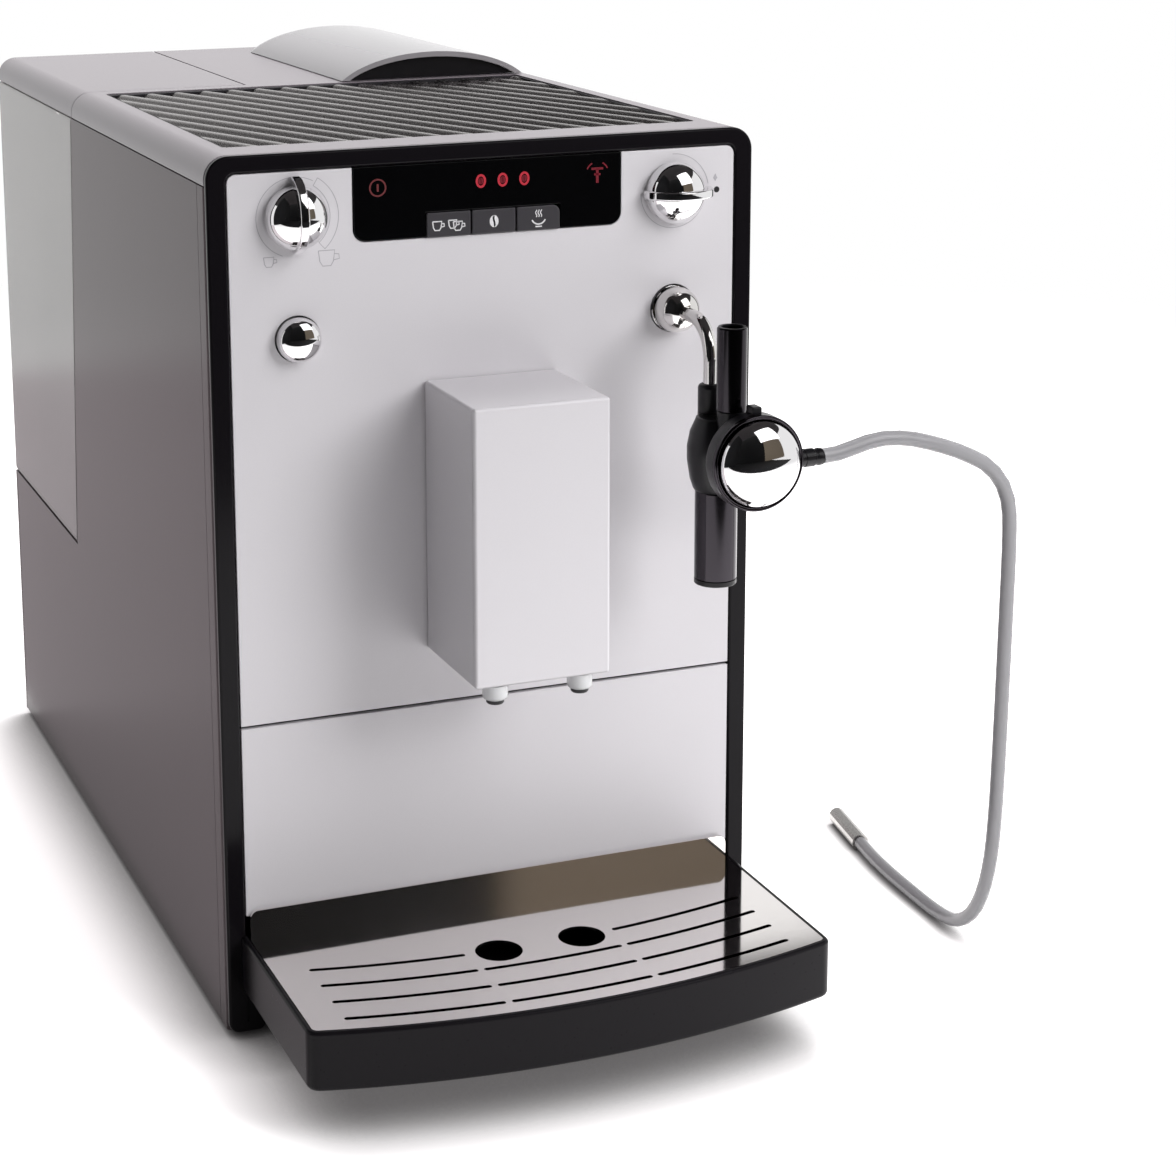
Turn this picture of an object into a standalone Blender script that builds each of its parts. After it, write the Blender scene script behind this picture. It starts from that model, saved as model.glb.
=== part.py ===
"""Slim bean to cup coffee machine, modelled as separate pieces.

Metres, +Z up, the front faces -Y, the origin is on the table under the middle of the machine.
"""

import math

import bmesh
import bpy
from mathutils import Matrix, Vector

# Overall sizes
WIDTH = 0.200
BODY_DEPTH = 0.363
BODY_HEIGHT = 0.311
TRAY_REACH = 0.092
FOOT_HEIGHT = 0.003
DOME_RISE = 0.011

# Shared fits and walls
CLEAR = 0.0003
RUN = 0.0005
WALL = 0.0025
OVERRUN = 0.006

# Black frame round the front
BEZEL_THICKNESS = 0.0030
BEZEL_SIDE = 0.0068
BEZEL_TOP = 0.0060
BEZEL_CORNER = 0.008
BEZEL_INNER_CORNER = 0.003
BEZEL_FOOT_CORNER = 0.004
BEZEL_EDGE = 0.0009
LEG_WIDTH = 0.0130
LEG_STEP_HEIGHT = 0.035

# Silver front
PANEL_SETBACK = 0.0005
PANEL_THICKNESS = 0.0022
SPLIT_HEIGHT = 0.112
SPLIT_GAP = 0.0010
LOWER_PANEL_HEIGHT = 0.0432

# Top cover
RAIL_HEIGHT = 0.010
TOP_ROUND = 0.008
TOP_SKIN = 0.0055
REAR_ROUND = 0.0025
RECESS_LEFT = 0.012
RECESS_RIGHT = 0.012
RECESS_FRONT = 0.022
RECESS_BACK_SHARE = 0.5468
RECESS_DEPTH = 0.0035
BED_CORNER = 0.002

# Ribbed cup plate
PLATE_BASE = 0.0012
RIB_HEIGHT = 0.0018
RIB_PITCH = 0.0105
RIB_LEAN_DEG = 20.0
RIB_POINTS = 6

# Control panel and its keys
DISPLAY_INSET = 0.051
DISPLAY_DROP = 0.0252
DISPLAY_CORNER = 0.0042
DISPLAY_PROUD = 0.0006
KEY_COUNT = 3
KEY_WIDTH = 0.0160
KEY_HEIGHT = 0.0085
KEY_PITCH = 0.0165
KEY_ROW_CENTRE = 0.0013
KEY_ROW_DROP = 0.0275
KEY_DEPTH = 0.0045
KEY_PROUD = 0.0004
KEY_CORNER = 0.0008
BOARD_THICKNESS = 0.0016
BOARD_SETBACK = 0.0063
BOARD_POST_RADIUS = 0.0020

# Knobs, button and steam outlet
CONTROL_INSET = 0.0305
KNOB_DROP = 0.0218
KNOB_RADIUS = 0.0104
KNOB_HEIGHT = 0.0095
KNOB_SKIRT = 0.0018
FIN_WIDTH = 0.0034
FIN_REACH = 0.0125
FIN_TAIL = 0.0122
FIN_POINTER = 0.0155
SHAFT_RADIUS = 0.0030
SHAFT_LENGTH = 0.0150
SHAFT_FIT = 0.0004
BUTTON_DROP = 0.0633
BUTTON_RADIUS = 0.0077
BUTTON_HEIGHT = 0.0065
BUTTON_TRAVEL = 0.0020
BALL_RADIUS = 0.0081
BALL_REACH = 0.0030

# Coffee spout
SPOUT_HALF = 0.0245
SPOUT_REACH = 0.0475
SPOUT_BOTTOM = 0.1330
SPOUT_HEIGHT = 0.0965
SPOUT_WALL = 0.0020
SPOUT_EDGE = 0.0012
NOZZLE_X = 0.0155
NOZZLE_REACH = 0.0420
NOZZLE_RADIUS = 0.0044
NOZZLE_LENGTH = 0.0068
NOZZLE_BORE = 0.0022
GUIDE_HALF = 0.0100
GUIDE_REACH = 0.0140
GUIDE_BOTTOM = 0.1812
GUIDE_HEIGHT = 0.0200
GUIDE_RIB = 0.0020
COFFEE_PIPE_RADIUS = 0.0030
COFFEE_PIPE_LENGTH = 0.020

# Drip tray drawer
TRAY_INSET = 0.005
TRAY_ARC = 0.350
TRAY_BOTTOM = 0.0155
TRAY_RIM = 0.0365
TRAY_WALL = 0.0018
TRAY_FLOOR = 0.0022
TRAY_TURN = 0.0040
TURN_STEPS = 4
TRAY_CORNER = 0.0030
TRAY_LEDGE = 0.0020
TONGUE_INSET = 0.0137
TONGUE_GAP = 0.008
TONGUE_LIFT = 0.0038
TRAY_BACK_WALL = 0.0025
GROUNDS_INSET = 0.030
GROUNDS_FRONT = 0.0115
GROUNDS_GAP = 0.018
GROUNDS_HEIGHT = 0.094
GROUNDS_CORNER = 0.008

# Stainless drip grate
GRATE_THICKNESS = 0.0010
GRATE_UPSTAND = 0.0092
SLOT_WIDTH = 0.0020
SLOT_PITCH = 0.0128
SLOT_FIRST = 0.0440
SLOT_ROWS = 4
SLOT_MIDDLE_HALF = 0.0245
SLOT_INNER = 0.0285
SLOT_INSET = 0.020
DRAIN_RADIUS = 0.00825

# Water tank in the rear left corner
TANK_WIDTH_SHARE = 0.362
TANK_BOTTOM = 0.118
TANK_UNDER_LID = 0.002
TANK_LEAN = 0.020
TANK_WALL = 0.0022
TANK_CORNER = 0.004
VALVE_RADIUS = 0.008
VALVE_LENGTH = 0.010
BAY_WALL = 0.0022
LID_GAP = 0.0085

# Bean hopper and its clear dome
DOME_INSET = 0.0480
DOME_HALF_WIDTH = 0.0400
DOME_BACK_INSET = 0.003
DOME_ROUND = 0.026
DOME_SINK_SHARE = 0.45
DOME_GAP = 0.0015
DOME_WALL = 0.0018
DOME_RIM = 0.0022
DOME_VISOR = 0.0030
DOME_SEGMENTS = 28
DOME_RINGS = 10
HOPPER_SHARE = 0.3875
HOPPER_RADIUS = 0.036
HOPPER_NECK = 0.016
HOPPER_WALL = 0.0018
HOPPER_FLANGE = 0.0030
HOPPER_LENGTH = 0.046
HOPPER_LIP = 0.0008

# Grinder
CARRIER_RADIUS = 0.030
CARRIER_HEIGHT = 0.030
BURR_BORE = 0.022
CARRIER_FLOOR = 0.004
UPPER_BURR_HEIGHT = 0.009
UPPER_BURR_EYE = 0.011
LOWER_BURR_RADIUS = 0.019
LOWER_BURR_HEIGHT = 0.010
BURR_GAP = 0.0006
GRINDER_SHAFT = 0.0040
MOTOR_RADIUS = 0.025
MOTOR_HEIGHT = 0.118
MOTOR_CAP = 0.006
PEDESTAL_RADIUS = 0.022
PEDESTAL_WALL = 0.003

# Inner chassis and base
BASE_FLOOR = 0.0035
BASE_RAIL = 0.0025
BASE_RAIL_HEIGHT = 0.012
BULKHEAD_SHARE = 0.430
BULKHEAD_THICKNESS = 0.0030
DECK_HEIGHT = 0.1125
DECK_THICKNESS = 0.0025
FOOT_RADIUS = 0.009
FOOT_INSET = 0.020
FOOT_CHAMFER = 0.0006

# Main board: its reach, and the depth, length, lift, height and thickness of what stands on it
BOARD_FRONT = 0.018
BOARD_BACK = 0.112
BOARD_TALL = 0.110
BOARD_PARTS = (
    (0.012, 0.032, 0.014, 0.032, 0.026),
    (0.054, 0.016, 0.016, 0.014, 0.016),
    (0.074, 0.014, 0.016, 0.018, 0.020),
    (0.014, 0.036, 0.058, 0.006, 0.022),
    (0.010, 0.070, 0.092, 0.008, 0.009),
)

# Brew unit behind the service cover
BREW_WIDTH = 0.066
BREW_INSET = 0.012
BREW_GAP = 0.0105
BREW_BOTTOM = 0.050
BREW_TOP = 0.190
BREW_PLATE = 0.005
CHAMBER_GAP = 0.0003
CHAMBER_WALL = 0.003
CHAMBER_LENGTH = 0.048
PISTON_LENGTH = 0.014
PISTON_ROD = 0.005
PISTON_TRAVEL = 0.022

# Service cover in the right side
SERVICE_INSET = 0.010
SERVICE_BACK_INSET = 0.033
SERVICE_BOTTOM = 0.032
SERVICE_DROP = 0.029
SERVICE_CORNER = 0.006
SERVICE_GRIP = 0.011
SERVICE_GRIP_DEPTH = 0.0013

# Milk frother on its bent steam pipe
FROTHER_REACH = 0.036
PIPE_REACH = 0.0305
PIPE_RADIUS = 0.0025
PIPE_BEND = 0.013
PIPE_END_RISE = 0.0155
NECK_RADIUS = 0.0043
NECK_RISE = 0.0223
FROTHER_RISE = 0.0120
FROTHER_FALL = 0.0142
FROTHER_RADIUS = 0.0103
AIR_TUBE_X = 0.0015
AIR_TUBE_REACH = 0.0440
AIR_TUBE_RADIUS = 0.0052
AIR_TUBE_RISE = 0.0446
AIR_SEAT_RISE = 0.0155
SLEEVE_RADIUS = 0.0074
SLEEVE_BORE = 0.0058
SLEEVE_FALL = 0.0479
DIAL_X = 0.0045
FROTHER_DROP = 0.0432
DIAL_FRONT = 0.0600
DIAL_BACK = 0.0512
DIAL_RADIUS = 0.0168
DIAL_RIM = 0.0013
DIAL_DOME = 0.0075
DIAL_FLOOR = 0.0030
ARM_RADIUS = 0.0075
NIPPLE_RADIUS = 0.0032
NIPPLE_END = 0.0300
NIPPLE_DROP = 0.0007
NIPPLE_REACH = 0.0560

# Milk hose, from the frother down to the table: across and back from the nipple, and height
HOSE_RADIUS = 0.0027
TIP_RADIUS = 0.0035
TIP_LENGTH = 0.030
HOSE_POINT_STEP = 0.0090
HOSE_LIES = 0.0050
HOSE_ROUTE = (
    (0.0000, 0.0000, 0.2068),
    (0.0055, 0.0000, 0.2071),
    (0.0112, 0.0000, 0.2084),
    (0.0169, 0.0000, 0.2099),
    (0.0240, 0.0001, 0.2107),
    (0.0307, 0.0003, 0.2102),
    (0.0376, 0.0006, 0.2088),
    (0.0440, 0.0009, 0.2068),
    (0.0528, 0.0014, 0.2037),
    (0.0612, 0.0020, 0.1998),
    (0.0668, 0.0026, 0.1966),
    (0.0721, 0.0033, 0.1917),
    (0.0760, 0.0041, 0.1857),
    (0.0783, 0.0048, 0.1787),
    (0.0793, 0.0055, 0.1700),
    (0.0799, 0.0064, 0.1560),
    (0.0802, 0.0073, 0.1380),
    (0.0804, 0.0081, 0.1180),
    (0.0805, 0.0088, 0.0980),
    (0.0806, 0.0096, 0.0790),
    (0.0808, 0.0108, 0.0610),
    (0.0811, 0.0132, 0.0430),
    (0.0815, 0.0182, 0.0272),
    (0.0820, 0.0267, 0.0142),
    (0.0826, 0.0392, 0.0062),
    (0.0831, 0.0547, 0.0037),
    (0.0836, 0.0727, 0.0036),
    (0.0845, 0.0907, 0.0036),
    (0.0862, 0.1077, 0.0036),
    (0.0888, 0.1237, 0.0036),
)

# Places that follow from the sizes
HALF = WIDTH / 2
TRAY_HALF = HALF - TRAY_INSET
TONGUE_HALF = HALF - TONGUE_INSET
GROUNDS_HALF = HALF - GROUNDS_INSET
CONTROL_X = HALF - CONTROL_INSET
DISPLAY_HALF = HALF - DISPLAY_INSET
SLOT_OUTER = HALF - SLOT_INSET
DOME_CENTRE_X = HALF - DOME_INSET
BREW_RIGHT = HALF - BREW_INSET
BREW_LEFT = BREW_RIGHT - BREW_WIDTH
INNER = HALF - WALL
FRONT = TRAY_REACH - (BODY_DEPTH + TRAY_REACH) / 2
BACK = FRONT + BODY_DEPTH
BASE = FOOT_HEIGHT
TOP = BASE + BODY_HEIGHT
SEAM = TOP - RAIL_HEIGHT
SHELL_FRONT = FRONT + BEZEL_THICKNESS + CLEAR
PANEL_FACE = FRONT + PANEL_SETBACK
PANEL_BACK = PANEL_FACE + PANEL_THICKNESS
PANEL_HALF = HALF - BEZEL_SIDE - CLEAR
PANEL_TOP = TOP - BEZEL_TOP - CLEAR
SPLIT = BASE + SPLIT_HEIGHT
KNOB_Z = TOP - KNOB_DROP
BUTTON_Z = TOP - BUTTON_DROP
DIAL_Z = BUTTON_Z - FROTHER_DROP
TANK_X = WIDTH * TANK_WIDTH_SHARE - HALF
RECESS_BACK = BODY_DEPTH * RECESS_BACK_SHARE
BULKHEAD_DEPTH = BODY_DEPTH * BULKHEAD_SHARE
GROUNDS_BACK = BULKHEAD_DEPTH - GROUNDS_GAP
TONGUE_LENGTH = BULKHEAD_DEPTH - TONGUE_GAP
SERVICE_FRONT = BULKHEAD_DEPTH + SERVICE_INSET
SERVICE_BACK = BODY_DEPTH - SERVICE_BACK_INSET
LID_FRONT = RECESS_BACK + LID_GAP
TANK_FRONT_TOP = LID_FRONT + TANK_UNDER_LID
TANK_FRONT_BOTTOM = TANK_FRONT_TOP + TANK_LEAN
DOME_CUT = RECESS_BACK + DOME_GAP
DOME_BACK = BODY_DEPTH - DOME_BACK_INSET
HOPPER_CENTRE_DEPTH = DOME_CUT + (DOME_BACK - DOME_CUT) * HOPPER_SHARE
BREW_BACK = HOPPER_CENTRE_DEPTH - MOTOR_RADIUS - WALL - BREW_GAP
BREW_FRONT = BULKHEAD_DEPTH + BULKHEAD_THICKNESS + CLEAR
CHAMBER_RADIUS = (BREW_BACK - BREW_FRONT) / 2 - BREW_PLATE - CHAMBER_WALL - CHAMBER_GAP
RIM_Z = BASE + TRAY_RIM
FLOOR_Z = BASE + BASE_FLOOR
DECK_Z = BASE + DECK_HEIGHT + DECK_THICKNESS
HOPPER_Y = FRONT + HOPPER_CENTRE_DEPTH
HOPPER_TOP = TOP - HOPPER_LIP
HOPPER_BOTTOM = TOP - HOPPER_LENGTH
CARRIER_TOP = HOPPER_BOTTOM - CLEAR
CARRIER_BOTTOM = CARRIER_TOP - CARRIER_HEIGHT
MOTOR_TOP = CARRIER_BOTTOM - CLEAR
MOTOR_BOTTOM = MOTOR_TOP - MOTOR_HEIGHT
BULKHEAD_BACK = FRONT + BULKHEAD_DEPTH + BULKHEAD_THICKNESS
TRAY_FRONT_Y = FRONT - TRAY_REACH

QUARTER = math.pi / 2
SIDE_ON = (QUARTER, 0.0, QUARTER)
FACING_FRONT = (QUARTER, 0.0, 0.0)
UPRIGHT = (0.0, 0.0, 0.0)
FACING_RIGHT = (0.0, QUARTER, 0.0)
FACING_BACK = (-QUARTER, 0.0, 0.0)


def behind(depth):
    """The Y of a place this far behind the machine's front plane."""
    return FRONT + depth


def start_scene():
    """Empties the scene and makes the two collections."""
    for old in list(bpy.data.objects):
        bpy.data.objects.remove(old, do_unlink=True)
    made = []
    for name in ("coffee_machine", "cutters"):
        group = bpy.data.collections.new(name)
        bpy.context.scene.collection.children.link(group)
        made.append(group)
    return made


PARTS, CUTTERS = start_scene()


def linear(value):
    """One sRGB channel, 0 to 255, as a linear value."""
    share = value / 255
    return share / 12.92 if share <= 0.04045 else ((share + 0.055) / 1.055) ** 2.4


def material(name, red, green, blue, metallic, roughness, alpha=1.0):
    """A Principled material of an sRGB colour."""
    made = bpy.data.materials.new(name)
    made.use_nodes = True
    shader = made.node_tree.nodes["Principled BSDF"]
    shader.inputs["Base Color"].default_value = (linear(red), linear(green), linear(blue), 1.0)
    shader.inputs["Metallic"].default_value = metallic
    shader.inputs["Roughness"].default_value = roughness
    shader.inputs["Alpha"].default_value = alpha
    return made


ANTHRACITE = material("anthracite_abs", 112, 107, 110, 0.1, 0.25)
SILVER = material("silver_painted_abs", 205, 204, 208, 0.3, 0.35)
BLACK_GLOSS = material("black_gloss_abs", 12, 12, 14, 0.0, 0.08)
BLACK_MATT = material("black_matt_pp", 40, 38, 42, 0.0, 0.5)
CHROME = material("chrome_plate", 215, 215, 218, 1.0, 0.06)
DARK_CHROME = material("dark_chrome", 90, 88, 92, 1.0, 0.12)
STEEL = material("stainless_steel", 190, 188, 184, 1.0, 0.22)
CLEAR_PLASTIC = material("clear_san", 210, 208, 206, 0.0, 0.08, 0.4)
SMOKED_PLASTIC = material("smoked_san", 120, 116, 116, 0.0, 0.1, 0.6)
RUBBER = material("black_rubber", 30, 30, 30, 0.0, 0.7)
ALUMINIUM = material("cast_aluminium", 170, 172, 175, 1.0, 0.4)
WHITE_PLASTIC = material("white_pom", 220, 220, 215, 0.0, 0.4)
CIRCUIT = material("green_fr4", 30, 90, 55, 0.0, 0.4)
SILICONE = material("grey_silicone", 110, 108, 110, 0.0, 0.35)


def place(name, mesh, finish, location=(0, 0, 0), rotation=UPRIGHT):
    """Links a mesh as a piece, or as a hidden cutter where it has no finish."""
    ob = bpy.data.objects.new(name, mesh)
    ob.location = location
    ob.rotation_euler = rotation
    if finish is None:
        CUTTERS.objects.link(ob)
        ob.hide_render = True
        ob.display_type = "WIRE"
    else:
        PARTS.objects.link(ob)
        mesh.materials.append(finish)
    return ob


def block(name, low, high, finish=None, along="", radius=0.0, steps=3, only=None):
    """A box from one corner to the other; edges along the named axes are rounded."""
    bm = bmesh.new()
    bmesh.ops.create_cube(bm, size=1)
    size = Vector(high) - Vector(low)
    bmesh.ops.scale(bm, vec=size, verts=bm.verts)
    chosen = []
    for edge in bm.edges:
        run = edge.verts[1].co - edge.verts[0].co
        axis = max(range(3), key=lambda i: abs(run[i]))
        middle = (edge.verts[0].co + edge.verts[1].co) / 2
        if "xyz"[axis] in along and (only is None or only(middle)):
            chosen.append(edge)
    if chosen:
        bmesh.ops.bevel(bm, geom=chosen, offset=radius, segments=steps, affect="EDGES", profile=0.5)
    mesh = bpy.data.meshes.new(name)
    bm.to_mesh(mesh)
    bm.free()
    return place(name, mesh, finish, (Vector(low) + Vector(high)) / 2)


def cylinder(name, start, turn, radius, length, finish=None, sides=24, end_radius=None):
    """A cylinder or cone that starts at a point and runs along the turned local Z."""
    bm = bmesh.new()
    last = radius if end_radius is None else end_radius
    bmesh.ops.create_cone(
        bm, cap_ends=True, segments=sides, radius1=radius, radius2=last, depth=length
    )
    bmesh.ops.translate(bm, vec=(0, 0, length / 2), verts=bm.verts)
    mesh = bpy.data.meshes.new(name)
    bm.to_mesh(mesh)
    bm.free()
    mesh.shade_smooth()
    mesh.set_sharp_from_angle(angle=math.radians(40))
    return place(name, mesh, finish, start, turn)


def turned(name, profile, centre, turn, finish=None, steps=24, closed=False):
    """Spins a profile of (radius, height) points, top first, with a Screw modifier."""
    mesh = bpy.data.meshes.new(name)
    count = len(profile)
    edges = [(i, i + 1) for i in range(count - 1)]
    if closed:
        edges.append((count - 1, 0))
    mesh.from_pydata([(radius, 0, height) for radius, height in profile], edges, [])
    ob = place(name, mesh, finish, centre, turn)
    screw = ob.modifiers.new("turn", "SCREW")
    screw.steps = screw.render_steps = steps
    screw.use_merge_vertices = True
    screw.merge_threshold = 0.00001
    screw.use_smooth_shade = True
    return ob


def outline_plate(name, points, thickness, location, turn, finish=None):
    """A flat outline given thickness, as a filled 2D curve made into a mesh."""
    curve = bpy.data.curves.new(name, "CURVE")
    curve.dimensions = "2D"
    curve.fill_mode = "BOTH"
    curve.extrude = thickness / 2
    spline = curve.splines.new("POLY")
    spline.points.add(len(points) - 1)
    for point, (across, up) in zip(spline.points, points):
        point.co = (across, up, 0, 1)
    spline.use_cyclic_u = True
    return mesh_of_curve(name, curve, location, turn, finish)


def mesh_of_curve(name, curve, location, turn, finish):
    """Turns a curve into a welded mesh object in the same place."""
    guide = bpy.data.objects.new(name + "_curve", curve)
    guide.location = location
    guide.rotation_euler = turn
    bpy.context.scene.collection.objects.link(guide)
    bpy.context.view_layer.update()
    depsgraph = bpy.context.evaluated_depsgraph_get()
    mesh = bpy.data.meshes.new_from_object(guide.evaluated_get(depsgraph))
    mesh.name = name
    mesh.materials.clear()
    bpy.data.objects.remove(guide, do_unlink=True)
    bm = bmesh.new()
    bm.from_mesh(mesh)
    bmesh.ops.remove_doubles(bm, verts=bm.verts, dist=0.000005)
    bmesh.ops.recalc_face_normals(bm, faces=bm.faces)
    bm.to_mesh(mesh)
    bm.free()
    return place(name, mesh, finish, location, turn)


def tube(name, points, radius, finish=None, smoothness=2):
    """A round tube along points, with filled ends."""
    curve = bpy.data.curves.new(name, "CURVE")
    curve.dimensions = "3D"
    curve.bevel_depth = radius
    curve.bevel_resolution = smoothness
    curve.use_fill_caps = True
    spline = curve.splines.new("POLY")
    spline.points.add(len(points) - 1)
    for point, spot in zip(spline.points, points):
        point.co = (*spot, 1)
    ob = mesh_of_curve(name, curve, (0, 0, 0), UPRIGHT, finish)
    ob.data.shade_smooth()
    ob.data.set_sharp_from_angle(angle=math.radians(50))
    return ob


def boolean(ob, others, operation):
    """Adds one Boolean modifier for each other object."""
    for other in others:
        made = ob.modifiers.new(operation.lower() + "_" + other.name, "BOOLEAN")
        made.operation = operation
        made.object = other
    return ob


def cut(ob, *others):
    return boolean(ob, others, "DIFFERENCE")


def fuse(ob, *others):
    return boolean(ob, others, "UNION")


def round_edges(ob, width, steps=2, angle=50):
    """Rounds the sharp edges of a finished shape."""
    made = ob.modifiers.new("edge", "BEVEL")
    made.width = width
    made.segments = steps
    made.limit_method = "ANGLE"
    made.angle_limit = math.radians(angle)
    made.harden_normals = False
    return ob


def arc(centre, radius, start_deg, end_deg, steps):
    """Points along an arc in a plane."""
    points = []
    for i in range(steps + 1):
        angle = math.radians(start_deg + (end_deg - start_deg) * i / steps)
        points.append(
            (centre[0] + radius * math.cos(angle), centre[1] + radius * math.sin(angle))
        )
    return points


def joined_copies(name, low, high, offsets):
    """One cutter that holds the same box at several places."""
    bm = bmesh.new()
    size = Vector(high) - Vector(low)
    centre = (Vector(low) + Vector(high)) / 2
    for offset in offsets:
        made = bmesh.ops.create_cube(bm, size=1)["verts"]
        bmesh.ops.scale(bm, vec=size, verts=made)
        bmesh.ops.translate(bm, vec=centre + Vector(offset), verts=made)
    mesh = bpy.data.meshes.new(name)
    bm.to_mesh(mesh)
    bm.free()
    return place(name, mesh, None)


# Base and feet


def make_base():
    """Floor pan with drawer rails and the hollow pedestal of the grinder motor."""
    edge = INNER - CLEAR
    end = BACK - WALL - CLEAR
    pan = block(
        "base_pan", (-edge, SHELL_FRONT, BASE), (edge, end, FLOOR_Z), BLACK_MATT
    )
    inside = TONGUE_HALF + RUN
    rail_back = BULKHEAD_BACK - BULKHEAD_THICKNESS - CLEAR
    for side, name in ((-1, "rail_left"), (1, "rail_right")):
        ends = sorted((side * inside, side * (inside + BASE_RAIL)))
        low = (ends[0], SHELL_FRONT + WALL, BASE + CLEAR)
        high = (ends[1], rail_back, FLOOR_Z + BASE_RAIL_HEIGHT)
        fuse(pan, block(name, low, high))
    seat = (DOME_CENTRE_X, HOPPER_Y, BASE + CLEAR)
    height = MOTOR_BOTTOM - CLEAR - BASE - CLEAR
    pedestal = cylinder("pedestal", seat, UPRIGHT, PEDESTAL_RADIUS, height)
    bore_start = (DOME_CENTRE_X, HOPPER_Y, FLOOR_Z)
    bore = cylinder("pedestal_bore", bore_start, UPRIGHT, PEDESTAL_RADIUS - PEDESTAL_WALL, height)
    fuse(pan, pedestal)
    cut(pan, bore)


def make_feet():
    """Four rubber feet under the corners of the pan."""
    top = FOOT_HEIGHT - CLEAR
    profile = (
        (0, top),
        (FOOT_RADIUS, top),
        (FOOT_RADIUS, FOOT_CHAMFER),
        (FOOT_RADIUS - FOOT_CHAMFER, 0),
        (0, 0),
    )
    across = HALF - FOOT_INSET
    front = FRONT + FOOT_INSET
    back = BACK - FOOT_INSET
    for name, x, y in (
        ("foot_front_left", -across, front),
        ("foot_front_right", across, front),
        ("foot_rear_left", -across, back),
        ("foot_rear_right", across, back),
    ):
        turned(name, profile, (x, y, 0), UPRIGHT, RUBBER, 16)


# Outer housing


def make_side_walls():
    """Left wall with the corner left open for the tank, right wall with the service opening."""
    end = BACK - WALL - CLEAR
    top = SEAM - CLEAR
    tank_floor = BASE + TANK_BOTTOM - RUN
    left = (
        (SHELL_FRONT, BASE),
        (end, BASE),
        (end, tank_floor),
        (behind(TANK_FRONT_BOTTOM) - RUN, tank_floor),
        (behind(TANK_FRONT_TOP) - RUN, top),
        (SHELL_FRONT, top),
    )
    middle = HALF - WALL / 2
    outline_plate("left_side_wall", left, WALL, (-middle, 0, 0), SIDE_ON, ANTHRACITE)
    right = ((SHELL_FRONT, BASE), (end, BASE), (end, top), (SHELL_FRONT, top))
    wall = outline_plate("right_side_wall", right, WALL, (middle, 0, 0), SIDE_ON, ANTHRACITE)
    low = (INNER - OVERRUN, behind(SERVICE_FRONT), BASE + SERVICE_BOTTOM)
    high = (HALF + OVERRUN, behind(SERVICE_BACK), TOP - SERVICE_DROP)
    cut(wall, block("service_opening", low, high, None, "x", SERVICE_CORNER, 4))


def make_service_cover():
    """Removable cover over the brew unit, with a finger grip at its rear edge."""
    front = behind(SERVICE_FRONT) + RUN
    back = behind(SERVICE_BACK) - RUN
    low = (INNER, front, BASE + SERVICE_BOTTOM + RUN)
    high = (HALF, back, TOP - SERVICE_DROP - RUN)
    corner = SERVICE_CORNER - RUN
    cover = block("service_cover", low, high, ANTHRACITE, "x", corner, 4)
    rib_half = WALL
    bottom = BASE + SERVICE_BOTTOM
    top = TOP - SERVICE_DROP
    for name, middle in (("low", bottom + SERVICE_GRIP), ("high", top - SERVICE_GRIP)):
        rib_low = (INNER - WALL, front + SERVICE_CORNER, middle - rib_half)
        rib_high = (HALF - WALL / 2, back - SERVICE_CORNER, middle + rib_half)
        fuse(cover, block("cover_rib_" + name, rib_low, rib_high))
    middle = (bottom + top) / 2
    grip_start = (HALF - SERVICE_GRIP_DEPTH, back, middle)
    grip = cylinder("cover_grip", grip_start, FACING_RIGHT, SERVICE_GRIP, OVERRUN, None, 24)
    cut(cover, grip)


def make_back_wall():
    """Rear wall with air slots and the hole for the mains gland."""
    top = SEAM - CLEAR
    tank_edge = TANK_X + RUN
    tank_floor = BASE + TANK_BOTTOM - RUN
    points = (
        (-HALF, BASE),
        (HALF, BASE),
        (HALF, top),
        (tank_edge, top),
        (tank_edge, tank_floor),
        (-HALF, tank_floor),
    )
    centre = (0, BACK - WALL / 2, 0)
    wall = outline_plate("back_wall", points, WALL, centre, FACING_FRONT, ANTHRACITE)
    slot_width = 0.0022
    slot_height = 0.034
    slot_pitch = 0.0062
    slot_count = 9
    slots_inset = 0.070
    slots_bottom = 0.050
    row_lift = 0.044
    offsets = []
    for row in range(2):
        for i in range(slot_count):
            offsets.append((HALF - slots_inset + i * slot_pitch, 0, slots_bottom + row * row_lift))
    low = (-slot_width / 2, BACK - WALL - OVERRUN, 0)
    high = (slot_width / 2, BACK + OVERRUN, slot_height)
    cut(wall, joined_copies("air_slots", low, high, offsets))
    hole_start = (gland_x(), BACK - WALL - OVERRUN, gland_z())
    hole = cylinder("gland_hole", hole_start, FACING_BACK, GLAND_RADIUS + CLEAR, WALL + 2 * OVERRUN)
    cut(wall, hole)


GLAND_RADIUS = 0.0085
GLAND_FLANGE = 0.0020
GLAND_BORE = 0.0035
GLAND_FROM_SIDE = 0.030
GLAND_HEIGHT = 0.030


def gland_x():
    return GLAND_FROM_SIDE - HALF


def gland_z():
    return BASE + GLAND_HEIGHT


def make_mains_gland():
    """Moulded gland that the mains lead leaves by, flush with the rear wall."""
    inside = WALL + CLEAR + GLAND_FLANGE
    wide = GLAND_RADIUS + GLAND_FLANGE
    profile = (
        (GLAND_BORE, inside),
        (wide, inside),
        (wide, WALL + CLEAR),
        (GLAND_RADIUS, WALL + CLEAR),
        (GLAND_RADIUS, 0),
        (GLAND_BORE, 0),
    )
    centre = (gland_x(), BACK, gland_z())
    turned("mains_gland", profile, centre, FACING_FRONT, RUBBER, 20, True)


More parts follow.
